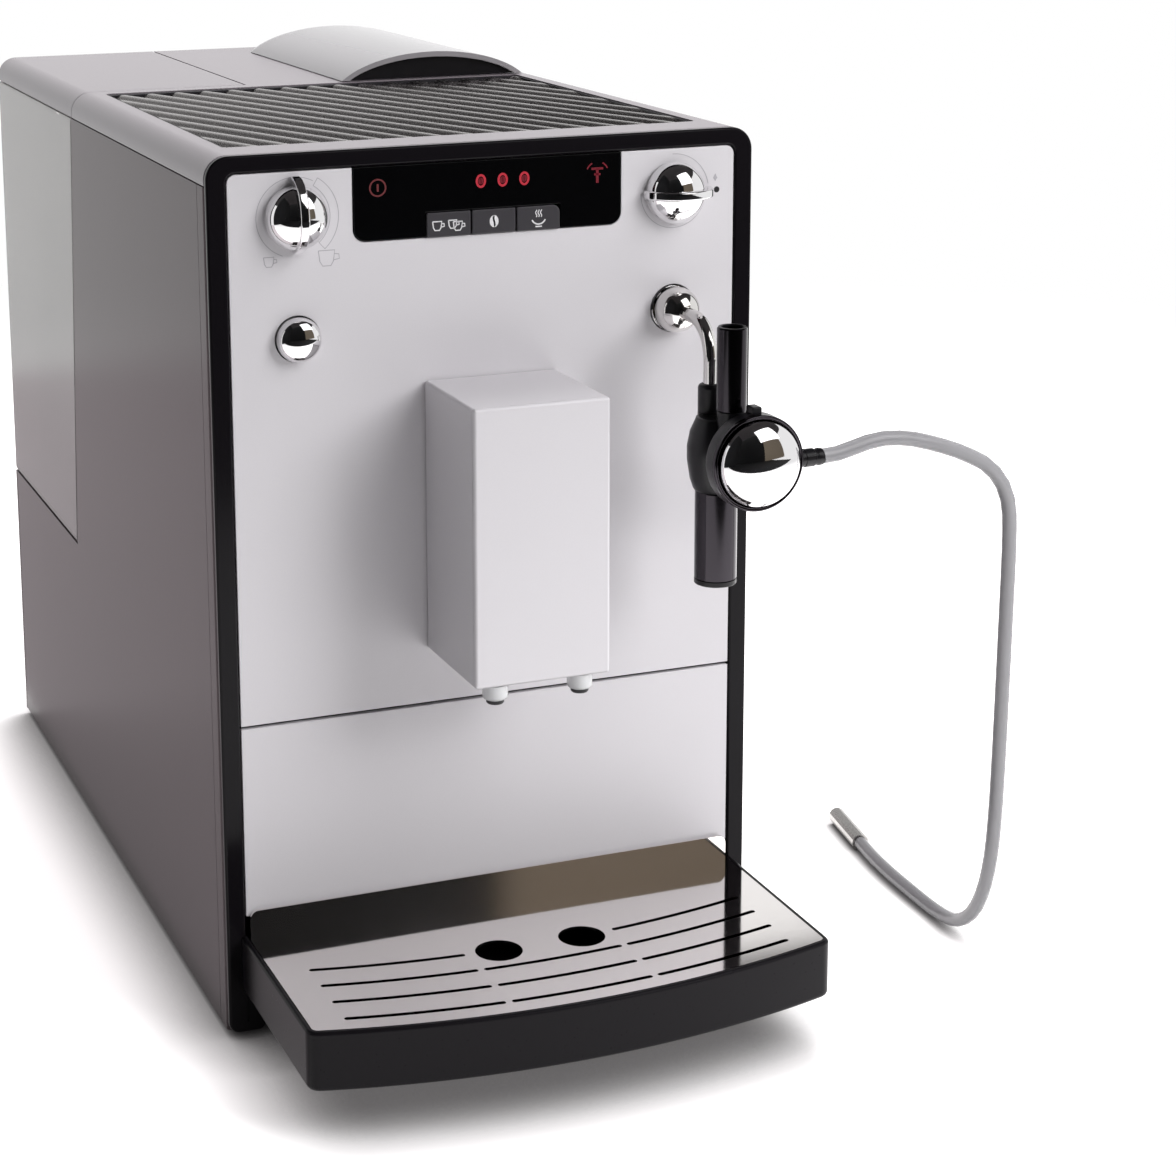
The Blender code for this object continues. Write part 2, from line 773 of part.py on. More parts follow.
def make_top_cover():
    """Top shell: rounded side rails, sunk bed for the cup plate, hopper mouth, tank corner."""
    low = (-HALF, SHELL_FRONT, SEAM)
    high = (HALF, BACK, TOP)
    cover = block(
        "top_cover", low, high, ANTHRACITE, "y", TOP_ROUND, 5, lambda middle: middle.z > 0
    )
    hollow_low = (-INNER, SHELL_FRONT + WALL, SEAM - OVERRUN)
    hollow_high = (INNER, BACK - WALL, TOP - TOP_SKIN)
    bed_low = (RECESS_LEFT - HALF, behind(RECESS_FRONT), TOP - RECESS_DEPTH)
    bed_high = (HALF - RECESS_RIGHT, behind(RECESS_BACK), TOP + OVERRUN)
    corner_low = (-HALF - OVERRUN, behind(LID_FRONT) - RUN, SEAM - OVERRUN)
    corner_high = (TANK_X + RUN, BACK + OVERRUN, TOP + OVERRUN)
    mouth_start = (DOME_CENTRE_X, HOPPER_Y, SEAM - OVERRUN)
    depth = RAIL_HEIGHT + 2 * OVERRUN
    cut(
        cover,
        block("cover_hollow", hollow_low, hollow_high),
        block("plate_bed", bed_low, bed_high, None, "z", BED_CORNER, 3),
        block("tank_corner", corner_low, corner_high),
        cylinder("hopper_mouth", mouth_start, UPRIGHT, HOPPER_RADIUS, depth, None, 40),
    )


def make_cup_plate():
    """Stainless cup plate with slanting ribs: a wave extruded and trimmed to the bed."""
    low = Vector((RECESS_LEFT - HALF + CLEAR, behind(RECESS_FRONT) + CLEAR, 0))
    high = Vector((HALF - RECESS_RIGHT - CLEAR, behind(RECESS_BACK) - CLEAR, 0))
    low.z = TOP - RECESS_DEPTH + CLEAR
    high.z = low.z + PLATE_BASE + RIB_HEIGHT + CLEAR
    reach = (high - low).length
    count = math.ceil(reach / RIB_PITCH)
    start = -count * RIB_PITCH / 2
    wave = []
    for i in range(count * RIB_POINTS + 1):
        turn = 2 * math.pi * i / RIB_POINTS
        rise = PLATE_BASE + RIB_HEIGHT * (1 - math.cos(turn)) / 2
        wave.append((start + i * RIB_PITCH / RIB_POINTS, rise))
    wave.append((-start, 0))
    wave.append((start, 0))
    centre = (low + high) / 2
    spot = (centre.x, centre.y, low.z)
    turn = (QUARTER, 0, math.radians(RIB_LEAN_DEG))
    plate = outline_plate("cup_plate", wave, reach, spot, turn, STEEL)
    trim = block("plate_trim", low - Vector((0, 0, OVERRUN)), high, None, "z", BED_CORNER - CLEAR)
    boolean(plate, (trim,), "INTERSECT")


# Front


def make_bezel():
    """Black frame round the front, open at the bottom, its legs wider beside the tray."""
    inner = HALF - BEZEL_SIDE
    leg = HALF - LEG_WIDTH
    step = BASE + LEG_STEP_HEIGHT
    under = TOP - BEZEL_TOP
    corner = BEZEL_CORNER
    foot = BEZEL_FOOT_CORNER
    inside = BEZEL_INNER_CORNER
    right = []
    right += arc((HALF - foot, BASE + foot), foot, -90, 0, 4)
    right += arc((HALF - corner, TOP - corner), corner, 0, 90, 6)
    left = [(-x, z) for x, z in reversed(right)]
    left_inner = [(-leg, BASE), (-leg, step), (-inner, step)]
    left_inner += arc((-inner + inside, under - inside), inside, 180, 90, 4)
    right_inner = [(-x, z) for x, z in reversed(left_inner)]
    points = right + left + left_inner + right_inner
    centre = (0, FRONT + BEZEL_THICKNESS / 2, 0)
    ring = outline_plate("front_bezel", points, BEZEL_THICKNESS, centre, FACING_FRONT, BLACK_GLOSS)
    round_edges(ring, BEZEL_EDGE, 2, 60)


def make_upper_front():
    """Silver front with its notch for the control panel and the holes for what passes through."""
    low = SPLIT + SPLIT_GAP
    notch = DISPLAY_HALF + CLEAR
    notch_z = PANEL_TOP - DISPLAY_DROP - CLEAR
    corner = DISPLAY_CORNER + CLEAR
    edge = BEZEL_INNER_CORNER
    right = [(PANEL_HALF, low)]
    right += arc((PANEL_HALF - edge, PANEL_TOP - edge), edge, 0, 90, 4)
    right.append((notch, PANEL_TOP))
    right += arc((notch - corner, notch_z + corner), corner, 0, -90, 5)
    left = [(-x, z) for x, z in reversed(right)]
    centre = (0, PANEL_FACE + PANEL_THICKNESS / 2, 0)
    panel = outline_plate(
        "upper_front_panel", right + left, PANEL_THICKNESS, centre, FACING_FRONT, SILVER
    )
    through = PANEL_THICKNESS + 2 * OVERRUN
    back = PANEL_BACK + OVERRUN
    holes = (
        ("dose_hole", -CONTROL_X, KNOB_Z, SHAFT_RADIUS + SHAFT_FIT),
        ("steam_hole", CONTROL_X, KNOB_Z, SHAFT_RADIUS + SHAFT_FIT),
        ("button_hole", -CONTROL_X, BUTTON_Z, BUTTON_RADIUS + CLEAR),
        ("socket_hole", CONTROL_X, BUTTON_Z, SOCKET_RADIUS + CLEAR),
        ("coffee_hole", 0, guide_pipe_z(), COFFEE_PIPE_RADIUS + CLEAR),
    )
    for name, x, z, radius in holes:
        cut(panel, cylinder(name, (x, back, z), FACING_FRONT, radius, through, None, 24))


SOCKET_RADIUS = 0.0083


def guide_pipe_z():
    return BASE + GUIDE_BOTTOM + GUIDE_HEIGHT / 2


def key_place(i):
    """Centre of a key on the control panel."""
    x = KEY_ROW_CENTRE + (i - (KEY_COUNT - 1) / 2) * KEY_PITCH
    return x, TOP - KEY_ROW_DROP


def make_control_panel():
    """Glossy control panel with its key holes and board posts, the board and the keys."""
    low = PANEL_TOP - DISPLAY_DROP
    corner = DISPLAY_CORNER
    right = [(DISPLAY_HALF, PANEL_TOP)]
    right += arc((DISPLAY_HALF - corner, low + corner), corner, 0, -90, 5)
    left = [(-x, z) for x, z in reversed(right)]
    face = PANEL_FACE - DISPLAY_PROUD
    thickness = PANEL_BACK - face
    centre = (0, face + thickness / 2, 0)
    panel = outline_plate(
        "control_panel", right + left, thickness, centre, FACING_FRONT, BLACK_GLOSS
    )
    names = ("cup_key", "strength_key", "steam_key")
    board_face = behind(BOARD_SETBACK)
    hole_half_x = KEY_WIDTH / 2 + CLEAR
    hole_half_z = KEY_HEIGHT / 2 + CLEAR
    for i, name in enumerate(names):
        x, z = key_place(i)
        hole_low = (x - hole_half_x, face - OVERRUN, z - hole_half_z)
        hole_high = (x + hole_half_x, PANEL_BACK + OVERRUN, z + hole_half_z)
        cut(panel, block(name + "_hole", hole_low, hole_high))
        key_low = (x - KEY_WIDTH / 2, face - KEY_PROUD, z - KEY_HEIGHT / 2)
        key_high = (x + KEY_WIDTH / 2, face - KEY_PROUD + KEY_DEPTH, z + KEY_HEIGHT / 2)
        key = block(name, key_low, key_high, BLACK_MATT)
        round_edges(key, KEY_CORNER, 2, 60)
    post_x = DISPLAY_HALF - 2 * DISPLAY_CORNER
    post_z = PANEL_TOP - 2 * DISPLAY_CORNER
    for side in (-1, 1):
        start = (side * post_x, board_face - CLEAR, post_z)
        length = board_face - CLEAR - face - DISPLAY_PROUD
        name = "board_post_left" if side < 0 else "board_post_right"
        fuse(panel, cylinder(name, start, FACING_FRONT, BOARD_POST_RADIUS, length, None, 12))
    board_low = (CLEAR - DISPLAY_HALF + corner, board_face, low + corner)
    board_high = (DISPLAY_HALF - corner - CLEAR, board_face + BOARD_THICKNESS, PANEL_TOP - CLEAR)
    block("display_board", board_low, board_high, CIRCUIT)


def make_knob(name, x, upright):
    """Chrome knob: a low dome on a skirt with a grip fin across it, and its shaft."""
    face = PANEL_FACE - CLEAR
    rise = KNOB_HEIGHT - KNOB_SKIRT
    profile = []
    dome_steps = 5
    for i in range(dome_steps + 1):
        angle = QUARTER * i / dome_steps
        profile.append(
            (KNOB_RADIUS * math.sin(angle), KNOB_SKIRT + rise * math.cos(angle))
        )
    profile[0] = (0, KNOB_HEIGHT)
    profile += [
        (KNOB_RADIUS, 0),
        (SHAFT_RADIUS, 0),
        (SHAFT_RADIUS, -SHAFT_LENGTH),
        (0, -SHAFT_LENGTH),
    ]
    knob = turned(name, profile, (x, face, KNOB_Z), FACING_FRONT, CHROME, 26)
    half = []
    fin_steps = 10
    for i in range(fin_steps + 1):
        angle = math.pi * i / fin_steps
        length = FIN_POINTER if math.cos(angle) > 0 else FIN_TAIL
        half.append((length * math.cos(angle), FIN_REACH * math.sin(angle)))
    turn = (math.pi, -QUARTER if upright else 0, 0)
    fin = outline_plate(name + "_fin", half, FIN_WIDTH, (x, face - CLEAR, KNOB_Z), turn)
    fuse(knob, fin)


def make_power_button():
    """Chrome push button, guided in its hole."""
    face = PANEL_FACE
    profile = []
    dome_steps = 6
    shoulder = BUTTON_HEIGHT / 3
    for i in range(dome_steps + 1):
        angle = QUARTER * i / dome_steps
        rise = BUTTON_HEIGHT - shoulder
        profile.append((BUTTON_RADIUS * math.sin(angle), shoulder + rise * math.cos(angle)))
    profile[0] = (0, BUTTON_HEIGHT)
    tail = PANEL_THICKNESS + BUTTON_TRAVEL
    profile += [(BUTTON_RADIUS, -tail), (0, -tail)]
    turned("power_button", profile, (-CONTROL_X, face, BUTTON_Z), FACING_FRONT, CHROME, 28)


def make_steam_outlet():
    """Chrome socket in the front, the ball in it and the bent pipe down to the frother."""
    ball_y = behind(-BALL_REACH)
    tail = 0.012
    socket_front = PANEL_SETBACK
    profile = (
        (0, socket_front),
        (SOCKET_RADIUS, socket_front),
        (SOCKET_RADIUS, -tail),
        (0, -tail),
    )
    socket = turned(
        "steam_socket", profile, (CONTROL_X, PANEL_FACE, BUTTON_Z), FACING_FRONT, CHROME, 24
    )
    seat = bmesh.new()
    bmesh.ops.create_uvsphere(seat, u_segments=16, v_segments=10, radius=BALL_RADIUS + RUN)
    mesh = bpy.data.meshes.new("ball_seat")
    seat.to_mesh(mesh)
    seat.free()
    cut(socket, place("ball_seat", mesh, None, (CONTROL_X, ball_y, BUTTON_Z)))
    ball = bmesh.new()
    bmesh.ops.create_uvsphere(ball, u_segments=18, v_segments=10, radius=BALL_RADIUS)
    mesh = bpy.data.meshes.new("steam_pipe")
    ball.to_mesh(mesh)
    ball.free()
    mesh.shade_smooth()
    pipe = place("steam_pipe", mesh, CHROME, (CONTROL_X, ball_y, BUTTON_Z))
    end_y = behind(-PIPE_REACH)
    bend_z = BUTTON_Z - PIPE_BEND
    points = [(CONTROL_X, ball_y, BUTTON_Z)]
    for y, z in arc((end_y + PIPE_BEND, bend_z), PIPE_BEND, 90, 180, 8):
        points.append((CONTROL_X, y, z))
    points.append((CONTROL_X, end_y, DIAL_Z + PIPE_END_RISE))
    fuse(pipe, tube("pipe_run", points, PIPE_RADIUS, None, 2))


# Coffee spout


def make_spout():
    """Hollow spout block that slides on the guide bracket, and its two nozzles."""
    bottom = BASE + SPOUT_BOTTOM
    top = bottom + SPOUT_HEIGHT
    front = behind(-SPOUT_REACH)
    back = FRONT - CLEAR
    low = (-SPOUT_HALF, front, bottom)
    high = (SPOUT_HALF, back, top)
    spout = block(
        "spout_block", low, high, SILVER, "xyz", SPOUT_EDGE, 2, lambda middle: middle.y < 0
    )
    inner = SPOUT_HALF - SPOUT_WALL
    hollow_low = (-inner, front + SPOUT_WALL, bottom + SPOUT_WALL)
    hollow_high = (inner, back + OVERRUN, top - SPOUT_WALL)
    cut(spout, block("spout_hollow", hollow_low, hollow_high))
    for side, name in ((-1, "guide_rib_left"), (1, "guide_rib_right")):
        ends = sorted((side * (GUIDE_HALF + CLEAR), side * (GUIDE_HALF + CLEAR + GUIDE_RIB)))
        rib_low = (ends[0], front + SPOUT_WALL / 2, bottom + SPOUT_WALL / 2)
        rib_high = (ends[1], back - SPOUT_WALL, top - SPOUT_WALL / 2)
        fuse(spout, block(name, rib_low, rib_high))
    for side, name in ((-1, "nozzle_left"), (1, "nozzle_right")):
        centre = (side * NOZZLE_X, behind(-NOZZLE_REACH), bottom - CLEAR)
        waist = NOZZLE_RADIUS * 0.82
        profile = (
            (NOZZLE_BORE, 0),
            (NOZZLE_RADIUS, 0),
            (NOZZLE_RADIUS, -NOZZLE_LENGTH * 0.55),
            (waist, -NOZZLE_LENGTH),
            (NOZZLE_BORE, -NOZZLE_LENGTH),
        )
        turned(name, profile, centre, UPRIGHT, CLEAR_PLASTIC, 20, True)


def make_spout_guide():
    """Bracket on the front that carries the spout, with the coffee pipe through the panel."""
    bottom = BASE + GUIDE_BOTTOM
    low = (-GUIDE_HALF, behind(-GUIDE_REACH), bottom)
    high = (GUIDE_HALF, PANEL_FACE - CLEAR, bottom + GUIDE_HEIGHT)
    guide = block("spout_guide", low, high, BLACK_MATT, "y", 0.001, 2)
    start = (0, behind(COFFEE_PIPE_LENGTH), guide_pipe_z())
    length = COFFEE_PIPE_LENGTH + GUIDE_REACH / 2
    fuse(guide, cylinder("coffee_pipe", start, FACING_FRONT, COFFEE_PIPE_RADIUS, length, None, 16))


# Drawer with the drip tray


def tray_outline(inset, back_y):
    """Outline of the tray seen from above, inset from the outer edge, its front corners round."""
    half = TRAY_HALF - inset
    centre_y = TRAY_FRONT_Y + TRAY_ARC
    radius = TRAY_ARC - inset
    corner = max(TRAY_TURN - inset, TRAY_TURN / 4)
    reach = math.degrees(math.asin((half - corner) / radius))
    front = arc((0, centre_y), radius, -90 - reach, -90 + reach, 12)
    corner_y = centre_y - math.sqrt(radius * radius - half * half)
    turn = bend(front[-1], (half, corner_y), (half, corner_y + corner))
    other = [(-x, y) for x, y in reversed(turn)]
    return other + front + turn + [(half, back_y), (-half, back_y)]


def bend(start, knee, end):
    """Points of a soft corner between two edges, without its start."""
    points = []
    for i in range(1, TURN_STEPS + 1):
        share = i / TURN_STEPS
        rest = 1 - share
        points.append(
            tuple(
                rest * rest * a + 2 * rest * share * b + share * share * c
                for a, b, c in zip(start, knee, end)
            )
        )
    return points


def make_tray():
    """Tray with its curved front and the tongue that runs into the machine."""
    back = FRONT - RUN
    bottom = BASE + TRAY_BOTTOM
    height = RIM_Z - bottom
    middle = (0, 0, bottom + height / 2)
    tray = outline_plate("drip_tray", tray_outline(0, back), height, middle, UPRIGHT, BLACK_MATT)
    round_edges(tray, TRAY_CORNER / 2, 2, 60)
    tongue_low = (-TONGUE_HALF, back - TRAY_BACK_WALL, BASE + TONGUE_LIFT)
    tongue_high = (TONGUE_HALF, behind(TONGUE_LENGTH), RIM_Z - TRAY_LEDGE)
    wall_front = PANEL_BACK + CLEAR
    wall_low = (-TONGUE_HALF, wall_front, BASE + TONGUE_LIFT + CLEAR)
    wall_high = (TONGUE_HALF, wall_front + TRAY_BACK_WALL, SPLIT - CLEAR)
    fuse(
        tray,
        block("tray_tongue", tongue_low, tongue_high),
        block("tray_back_wall", wall_low, wall_high),
    )
    basin_bottom = bottom + TRAY_FLOOR
    basin_height = height + OVERRUN
    basin_middle = (0, 0, basin_bottom + basin_height / 2)
    inset = TRAY_WALL + TRAY_LEDGE
    basin_points = tray_outline(inset, back - inset)
    seat_drop = GRATE_THICKNESS + CLEAR
    seat_middle = (0, 0, RIM_Z - seat_drop + basin_height / 2)
    seat_points = tray_outline(TRAY_WALL, back + OVERRUN)
    rear_low = (-TONGUE_HALF + TRAY_WALL, wall_high[1] + TRAY_WALL, FLOOR_Z + CLEAR + TRAY_FLOOR)
    rear_high = (TONGUE_HALF - TRAY_WALL, behind(TONGUE_LENGTH) - TRAY_WALL, RIM_Z + OVERRUN)
    cut(
        tray,
        outline_plate("basin", basin_points, basin_height, basin_middle, UPRIGHT),
        seat_cutter(seat_points, basin_height, seat_middle),
        block("rear_basin", rear_low, rear_high),
    )


def seat_cutter(points, height, middle):
    """Clears the rim's inside down to the seat of the grate, in front of the lower panel."""
    ends = [point for point in points if point[1] > FRONT]
    kept = [point for point in points if point[1] <= FRONT]
    half = max(point[0] for point in ends)
    kept += [(half, PANEL_FACE), (-half, PANEL_FACE)]
    return outline_plate("grate_seat", kept, height, middle, UPRIGHT)


def make_lower_front():
    """Silver front of the drawer."""
    low = (-PANEL_HALF, PANEL_FACE, BASE + LOWER_PANEL_HEIGHT)
    high = (PANEL_HALF, PANEL_BACK, SPLIT)
    block("lower_front_panel", low, high, SILVER, "y", 0.0006, 2)


def make_grounds_container():
    """Open bin for the coffee grounds, standing in the drawer behind the front."""
    floor = FLOOR_Z + CLEAR + TRAY_FLOOR + CLEAR
    low = Vector((-GROUNDS_HALF, behind(GROUNDS_FRONT), floor))
    high = Vector((GROUNDS_HALF, behind(GROUNDS_BACK), floor + GROUNDS_HEIGHT))
    bin_ob = block("grounds_container", low, high, BLACK_MATT, "z", GROUNDS_CORNER, 4)
    wall = Vector((TRAY_WALL, TRAY_WALL, TRAY_WALL))
    inside_high = high - wall
    inside_high.z = high.z + OVERRUN
    corner = GROUNDS_CORNER - TRAY_WALL
    cut(bin_ob, block("grounds_inside", low + wall, inside_high, None, "z", corner, 4))


def slot_points(row, start, end):
    """Outline of one curved slot with round ends."""
    radius = TRAY_ARC
    centre_y = behind(-SLOT_FIRST - row * SLOT_PITCH) + radius
    half = SLOT_WIDTH / 2
    steps = 5
    front, back = [], []
    for i in range(steps + 1):
        x = start + (end - start) * i / steps
        angle = math.asin(x / radius)
        for side, r in ((front, radius + half), (back, radius - half)):
            side.append((r * math.sin(angle), centre_y - r * math.cos(angle)))
    first = ((front[0][0] + back[0][0]) / 2, (front[0][1] + back[0][1]) / 2)
    last = ((front[-1][0] + back[-1][0]) / 2, (front[-1][1] + back[-1][1]) / 2)
    nose_last = (last[0] + half, last[1])
    nose_first = (first[0] - half, first[1])
    return front + [nose_last] + list(reversed(back)) + [nose_first]


def make_grate():
    """Polished grate: curved plate, folded up at the rear, with slots and two round drains."""
    gap = TRAY_WALL + CLEAR
    back = FRONT - RUN
    middle = (0, 0, RIM_Z - GRATE_THICKNESS / 2)
    grate = outline_plate(
        "drip_grate", tray_outline(gap, back), GRATE_THICKNESS, middle, UPRIGHT, STEEL
    )
    fold_low = (-TRAY_HALF + gap, back - GRATE_THICKNESS, RIM_Z - GRATE_THICKNESS)
    fold_high = (PANEL_HALF - 2 * RUN, back, RIM_Z + GRATE_UPSTAND)
    fold_low = (-PANEL_HALF + 2 * RUN, fold_low[1], fold_low[2])
    fuse(grate, block("grate_fold", fold_low, fold_high))
    deep = GRATE_THICKNESS + 2 * OVERRUN
    for row in range(SLOT_ROWS):
        spans = [(-SLOT_OUTER, -SLOT_INNER), (SLOT_INNER, SLOT_OUTER)]
        if row:
            spans.append((-SLOT_MIDDLE_HALF, SLOT_MIDDLE_HALF))
        for i, (start, end) in enumerate(spans):
            name = f"slot_{row}_{i}"
            cut(grate, outline_plate(name, slot_points(row, start, end), deep, middle, UPRIGHT))
    for side, name in ((-1, "drain_left"), (1, "drain_right")):
        start = (side * NOZZLE_X, behind(-SLOT_FIRST), RIM_Z - GRATE_THICKNESS - OVERRUN)
        cut(grate, cylinder(name, start, UPRIGHT, DRAIN_RADIUS, deep, None, 28))


# Water tank


def tank_outline(inset, top):
    """Side outline of the tank, whose front edge leans."""
    floor = BASE + TANK_BOTTOM + inset
    end = BACK - inset
    height = SEAM - BASE - TANK_BOTTOM
    lean = (TANK_FRONT_BOTTOM - TANK_FRONT_TOP) / height
    bottom_front = behind(TANK_FRONT_BOTTOM) + inset - lean * inset
    top_front = bottom_front - lean * (top - floor)
    return [(bottom_front, floor), (end, floor), (end, top), (top_front, top)]


def make_tank():
    """Translucent tank that forms the machine's rear left corner, its valve and its lid."""
    top = SEAM - CLEAR
    width = TANK_X + HALF
    centre = ((TANK_X - HALF) / 2, 0, 0)
    tank = outline_plate(
        "water_tank", tank_outline(0, top), width, centre, SIDE_ON, SMOKED_PLASTIC
    )
    round_edges(tank, TANK_CORNER / 4, 2, 60)
    inside_top = top + OVERRUN
    inside_width = width - 2 * TANK_WALL
    inside = outline_plate(
        "tank_inside", tank_outline(TANK_WALL, inside_top), inside_width, centre, SIDE_ON
    )
    cut(tank, inside)
    floor = BASE + TANK_BOTTOM
    start = (valve_x(), valve_y(), floor - CLEAR - VALVE_LENGTH)
    cylinder("tank_valve", start, UPRIGHT, VALVE_RADIUS, VALVE_LENGTH, WHITE_PLASTIC, 20)


def valve_x():
    return (TANK_X - HALF) / 2


def valve_y():
    return (behind(TANK_FRONT_BOTTOM) + BACK) / 2


def make_tank_lid():
    """Lid of the tank, the rear left part of the top, with the rail's rounded edge."""
    low = (-HALF, behind(LID_FRONT), SEAM)
    high = (TANK_X, BACK, TOP)
    lid = block(
        "water_tank_lid",
        low,
        high,
        ANTHRACITE,
        "y",
        TOP_ROUND,
        5,
        lambda middle: middle.z > 0 and middle.x < 0,
    )
    hollow_low = (-INNER, behind(LID_FRONT) + WALL, SEAM - OVERRUN)
    hollow_high = (TANK_X - WALL, BACK - WALL, TOP - TOP_SKIN)
    cut(lid, block("lid_hollow", hollow_low, hollow_high))


def make_tank_bay():
    """Floor, side and front of the bay that the tank stands in."""
    floor_top = BASE + TANK_BOTTOM - RUN
    top = SEAM - CLEAR
    end = BACK - WALL - CLEAR
    front_bottom = behind(TANK_FRONT_BOTTOM) - RUN
    front_top = behind(TANK_FRONT_TOP) - RUN
    left = -INNER + CLEAR
    right = TANK_X + RUN
    low = (left, front_bottom - BAY_WALL, floor_top - BAY_WALL)
    high = (right + BAY_WALL, end, floor_top)
    bay = block("tank_bay", low, high, BLACK_MATT)
    lip = floor_top - BAY_WALL / 2
    side = [
        (front_bottom - BAY_WALL, lip),
        (end, lip),
        (end, top),
        (front_top - BAY_WALL, top),
    ]
    side_x = right + BAY_WALL / 2
    front = [
        (front_bottom - BAY_WALL, lip),
        (front_bottom, lip),
        (front_top, top),
        (front_top - BAY_WALL, top),
    ]
    front_width = right + BAY_WALL / 2 - left
    front_x = (left + right + BAY_WALL / 2) / 2
    fuse(
        bay,
        outline_plate("bay_side", side, BAY_WALL, (side_x, 0, 0), SIDE_ON),
        outline_plate("bay_front", front, front_width, (front_x, 0, 0), SIDE_ON),
    )
    hole_start = (valve_x(), valve_y(), floor_top - BAY_WALL - OVERRUN)
    depth = BAY_WALL + 2 * OVERRUN
    cut(bay, cylinder("valve_hole", hole_start, UPRIGHT, VALVE_RADIUS + RUN, depth, None, 20))


# Bean hopper and grinder


def dome(name, shrink, bottom, cut_depth):
    """A cutter or a solid: a vault over the hopper, round at its rear and cut square at its front."""
    rise = (DOME_RISE - CLEAR) / (1 - DOME_SINK_SHARE)
    spread = math.sqrt(1 - DOME_SINK_SHARE * DOME_SINK_SHARE)
    turn_y = behind(DOME_BACK - DOME_ROUND)
    bm = bmesh.new()
    bmesh.ops.create_uvsphere(bm, u_segments=DOME_SEGMENTS, v_segments=DOME_RINGS, radius=1)
    size = (DOME_HALF_WIDTH / spread - shrink, DOME_ROUND / spread - shrink, rise - shrink)
    bmesh.ops.scale(bm, vec=size, verts=bm.verts)
    offset = (DOME_CENTRE_X, turn_y, TOP + CLEAR - rise * DOME_SINK_SHARE)
    bmesh.ops.translate(bm, vec=offset, verts=bm.verts)
    planes = (
        ((0, 0, bottom), (0, 0, -1)),
        ((0, turn_y, 0), (0, -1, 0)),
    )
    for point, normal in planes:
        everything = bm.verts[:] + bm.edges[:] + bm.faces[:]
        made = bmesh.ops.bisect_plane(
            bm, geom=everything, plane_co=point, plane_no=normal, clear_outer=True
        )
        rim = [item for item in made["geom_cut"] if isinstance(item, bmesh.types.BMEdge)]
        closed = bmesh.ops.edgenet_fill(bm, edges=rim)
    longer = bmesh.ops.extrude_face_region(bm, geom=closed["faces"])
    moved = [item for item in longer["geom"] if isinstance(item, bmesh.types.BMVert)]
    run = Vector((0, behind(cut_depth) - turn_y, 0))
    bmesh.ops.translate(bm, vec=run, verts=moved)
    bmesh.ops.delete(bm, geom=closed["faces"], context="FACES_ONLY")
    bmesh.ops.recalc_face_normals(bm, faces=bm.faces)
    mesh = bpy.data.meshes.new(name)
    bm.to_mesh(mesh)
    bm.free()
    return mesh


def make_hopper_lid():
    """Clear domed lid with a dark arched front set back in its rim."""
    base = TOP + CLEAR
    lid = place("hopper_lid", dome("hopper_lid", 0, base, DOME_CUT), CLEAR_PLASTIC)
    lid.data.shade_smooth()
    lid.data.set_sharp_from_angle(angle=math.radians(40))
    visor_back = DOME_CUT + DOME_VISOR + DOME_WALL
    inside = place(
        "dome_inside", dome("dome_inside", DOME_WALL, base - OVERRUN, visor_back), None
    )
    visor = place("dome_visor", dome("dome_visor", DOME_RIM, base - OVERRUN, DOME_CUT), None)
    keep = DOME_CUT + DOME_VISOR
    low = (DOME_CENTRE_X - HALF, behind(DOME_CUT) - OVERRUN, base - 2 * OVERRUN)
    high = (DOME_CENTRE_X + HALF, behind(keep), TOP + HALF)
    boolean(visor, (block("visor_depth", low, high),), "INTERSECT")
    cut(lid, inside, visor)


def make_hopper():
    """Funnel for the beans, hung in the mouth of the top cover by its flange."""
    ceiling = TOP - TOP_SKIN - CLEAR
    radius = HOPPER_RADIUS - CLEAR
    flange = HOPPER_RADIUS + HOPPER_FLANGE
    neck_z = HOPPER_BOTTOM + HOPPER_FLANGE
    shoulder = ceiling - HOPPER_FLANGE
    profile = (
        (radius - HOPPER_WALL, HOPPER_TOP),
        (radius, HOPPER_TOP),
        (radius, ceiling),
        (flange, ceiling),
        (flange, ceiling - HOPPER_WALL),
        (radius, shoulder),
        (HOPPER_NECK, neck_z),
        (HOPPER_NECK, HOPPER_BOTTOM),
        (HOPPER_NECK - HOPPER_WALL, HOPPER_BOTTOM),
        (HOPPER_NECK - HOPPER_WALL, neck_z),
        (radius - HOPPER_WALL, shoulder),
    )
    centre = (DOME_CENTRE_X, HOPPER_Y, 0)
    turned("bean_hopper", profile, centre, UPRIGHT, SMOKED_PLASTIC, 24, True)


